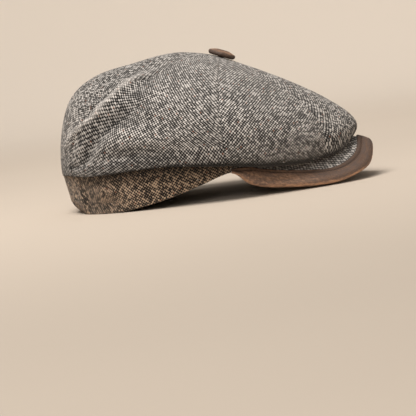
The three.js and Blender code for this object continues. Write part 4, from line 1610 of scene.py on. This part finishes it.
class CAP_OT_stage(bpy.types.Operator):
    """Make the pale floor and backdrop, the lights and the camera"""

    bl_idname = "cap.stage"
    bl_label = "Stage"

    FLOOR_RADIUS = 1.7
    FLOOR_POINTS = 11
    COVE_RADIUS = 1.3
    COVE_TURN = 80
    COVE_POINTS = 24
    SIDES = 128
    LAMP_COLOUR = (1.0, 0.965, 0.92)
    SKY_COLOUR = (1.0, 0.98, 0.95, 1.0)
    CAP_MIDDLE = (0, 0, 0.05)

    def execute(self, context):
        stage = context.scene.cap_stage
        self.floor(stage)
        self.lights(context, stage)
        self.camera(context, stage)
        context.scene.view_settings.view_transform = "Standard"
        return {"FINISHED"}

    def floor(self, stage):
        """A round floor that turns up into a wall all round."""
        bend = np.radians(np.linspace(0, self.COVE_TURN, self.COVE_POINTS))
        level = np.linspace(0, self.FLOOR_RADIUS, self.FLOOR_POINTS, endpoint=False)
        out = np.concatenate([level, self.FLOOR_RADIUS + self.COVE_RADIUS * np.sin(bend)])
        up = np.concatenate([0 * level, self.COVE_RADIUS * (1 - np.cos(bend))])
        turn = np.linspace(0, 2 * np.pi, self.SIDES, endpoint=False)[:, None]
        grid = points(out * np.cos(turn), out * np.sin(turn), up + 0 * turn)
        rows, columns = grid.shape[:2]
        mesh = bpy.data.meshes.new("floor")
        mesh.from_pydata(grid.reshape(-1, 3), [], grid_faces(rows, columns, wrap=True)[:, ::-1].tolist())
        mesh.polygons.foreach_set("use_smooth", np.ones(len(mesh.polygons), bool))
        mesh.materials.append(named_material("pale_backdrop", backdrop, stage))
        floor = bpy.data.objects.new("floor", mesh)
        bpy.context.scene.collection.objects.link(floor)

    def lights(self, context, stage):
        """Three lamps, each with its place, aim, size and power, and an even sky."""
        lamps = (
            ("key_light", (-0.45, -0.85, 1.75), self.CAP_MIDDLE, 1.3, stage.key),
            ("fill_light", (-0.1, -1.9, 0.75), self.CAP_MIDDLE, 1.0, stage.fill),
            ("backdrop_light", (0.2, 0.9, 1.7), (0.1, 3.0, 0.5), 1.4, stage.backdrop),
        )
        for name, place, aim, size, power in lamps:
            data = bpy.data.lights.new(name, "AREA")
            data.shape = "DISK"
            data.size = size
            data.energy = power
            data.color = self.LAMP_COLOUR
            lamp = bpy.data.objects.new(name, data)
            lamp.location = place
            lamp.rotation_mode = "QUATERNION"
            lamp.rotation_quaternion = (Vector(aim) - Vector(place)).to_track_quat("-Z", "Y")
            context.scene.collection.objects.link(lamp)
        world = bpy.data.worlds.new("soft_sky")
        world.use_nodes = True
        sky = world.node_tree.nodes["Background"].inputs
        sky["Color"].default_value = self.SKY_COLOUR
        sky["Strength"].default_value = stage.sky
        context.scene.world = world

    @staticmethod
    def camera(context, stage):
        """A camera that looks at the aim point from its distance, turned a little about its own axis."""
        level = math.cos(stage.elevation)
        sideways = math.sin(stage.azimuth) * level
        back = Vector((sideways, -math.cos(stage.azimuth) * level, math.sin(stage.elevation)))
        data = bpy.data.cameras.new("camera")
        data.lens = data.sensor_width * stage.distance / stage.view_width
        camera = bpy.data.objects.new("camera", data)
        camera.location = Vector(stage.aim) + back * stage.distance
        camera.rotation_mode = "QUATERNION"
        camera.rotation_quaternion = (-back).to_track_quat("-Z", "Y") @ Quaternion((0, 0, 1), stage.roll)
        context.scene.collection.objects.link(camera)
        context.scene.camera = camera


class CAP_PT_cap(bpy.types.Panel):
    """Pieces of the cap and their settings"""

    bl_idname = "CAP_PT_cap"
    bl_label = "Baker boy cap"
    bl_space_type = "VIEW_3D"
    bl_region_type = "UI"
    bl_category = "Cap"

    def draw(self, context):
        for operator in OPERATORS:
            self.layout.operator(operator.bl_idname)
        for group in SETTINGS:
            box = self.layout.box()
            settings = getattr(context.scene, group)
            for name in settings.__annotations__:
                box.prop(settings, name)


OPERATORS = (
    CAP_OT_crown,
    CAP_OT_headband,
    CAP_OT_peak,
    CAP_OT_binding,
    CAP_OT_stitches,
    CAP_OT_button,
    CAP_OT_wool,
    CAP_OT_stage,
)
SETTINGS = {"cap_cloth": ClothSettings, "cap_leather": LeatherSettings, "cap_stage": StageSettings}


def register():
    for kind in (*SETTINGS.values(), *OPERATORS, CAP_PT_cap):
        bpy.utils.register_class(kind)
    for name, kind in SETTINGS.items():
        setattr(bpy.types.Scene, name, PointerProperty(type=kind))


def unregister():
    for name in SETTINGS:
        delattr(bpy.types.Scene, name)
    for kind in (CAP_PT_cap, *reversed(OPERATORS), *SETTINGS.values()):
        bpy.utils.unregister_class(kind)


def main():
    register()
    bpy.ops.cap.crown()
    bpy.ops.cap.headband()
    bpy.ops.cap.peak()
    bpy.ops.cap.binding()
    bpy.ops.cap.stitches()
    bpy.ops.cap.button()
    bpy.ops.cap.wool()
    bpy.ops.cap.stage()


if __name__ == "__main__":
    main()
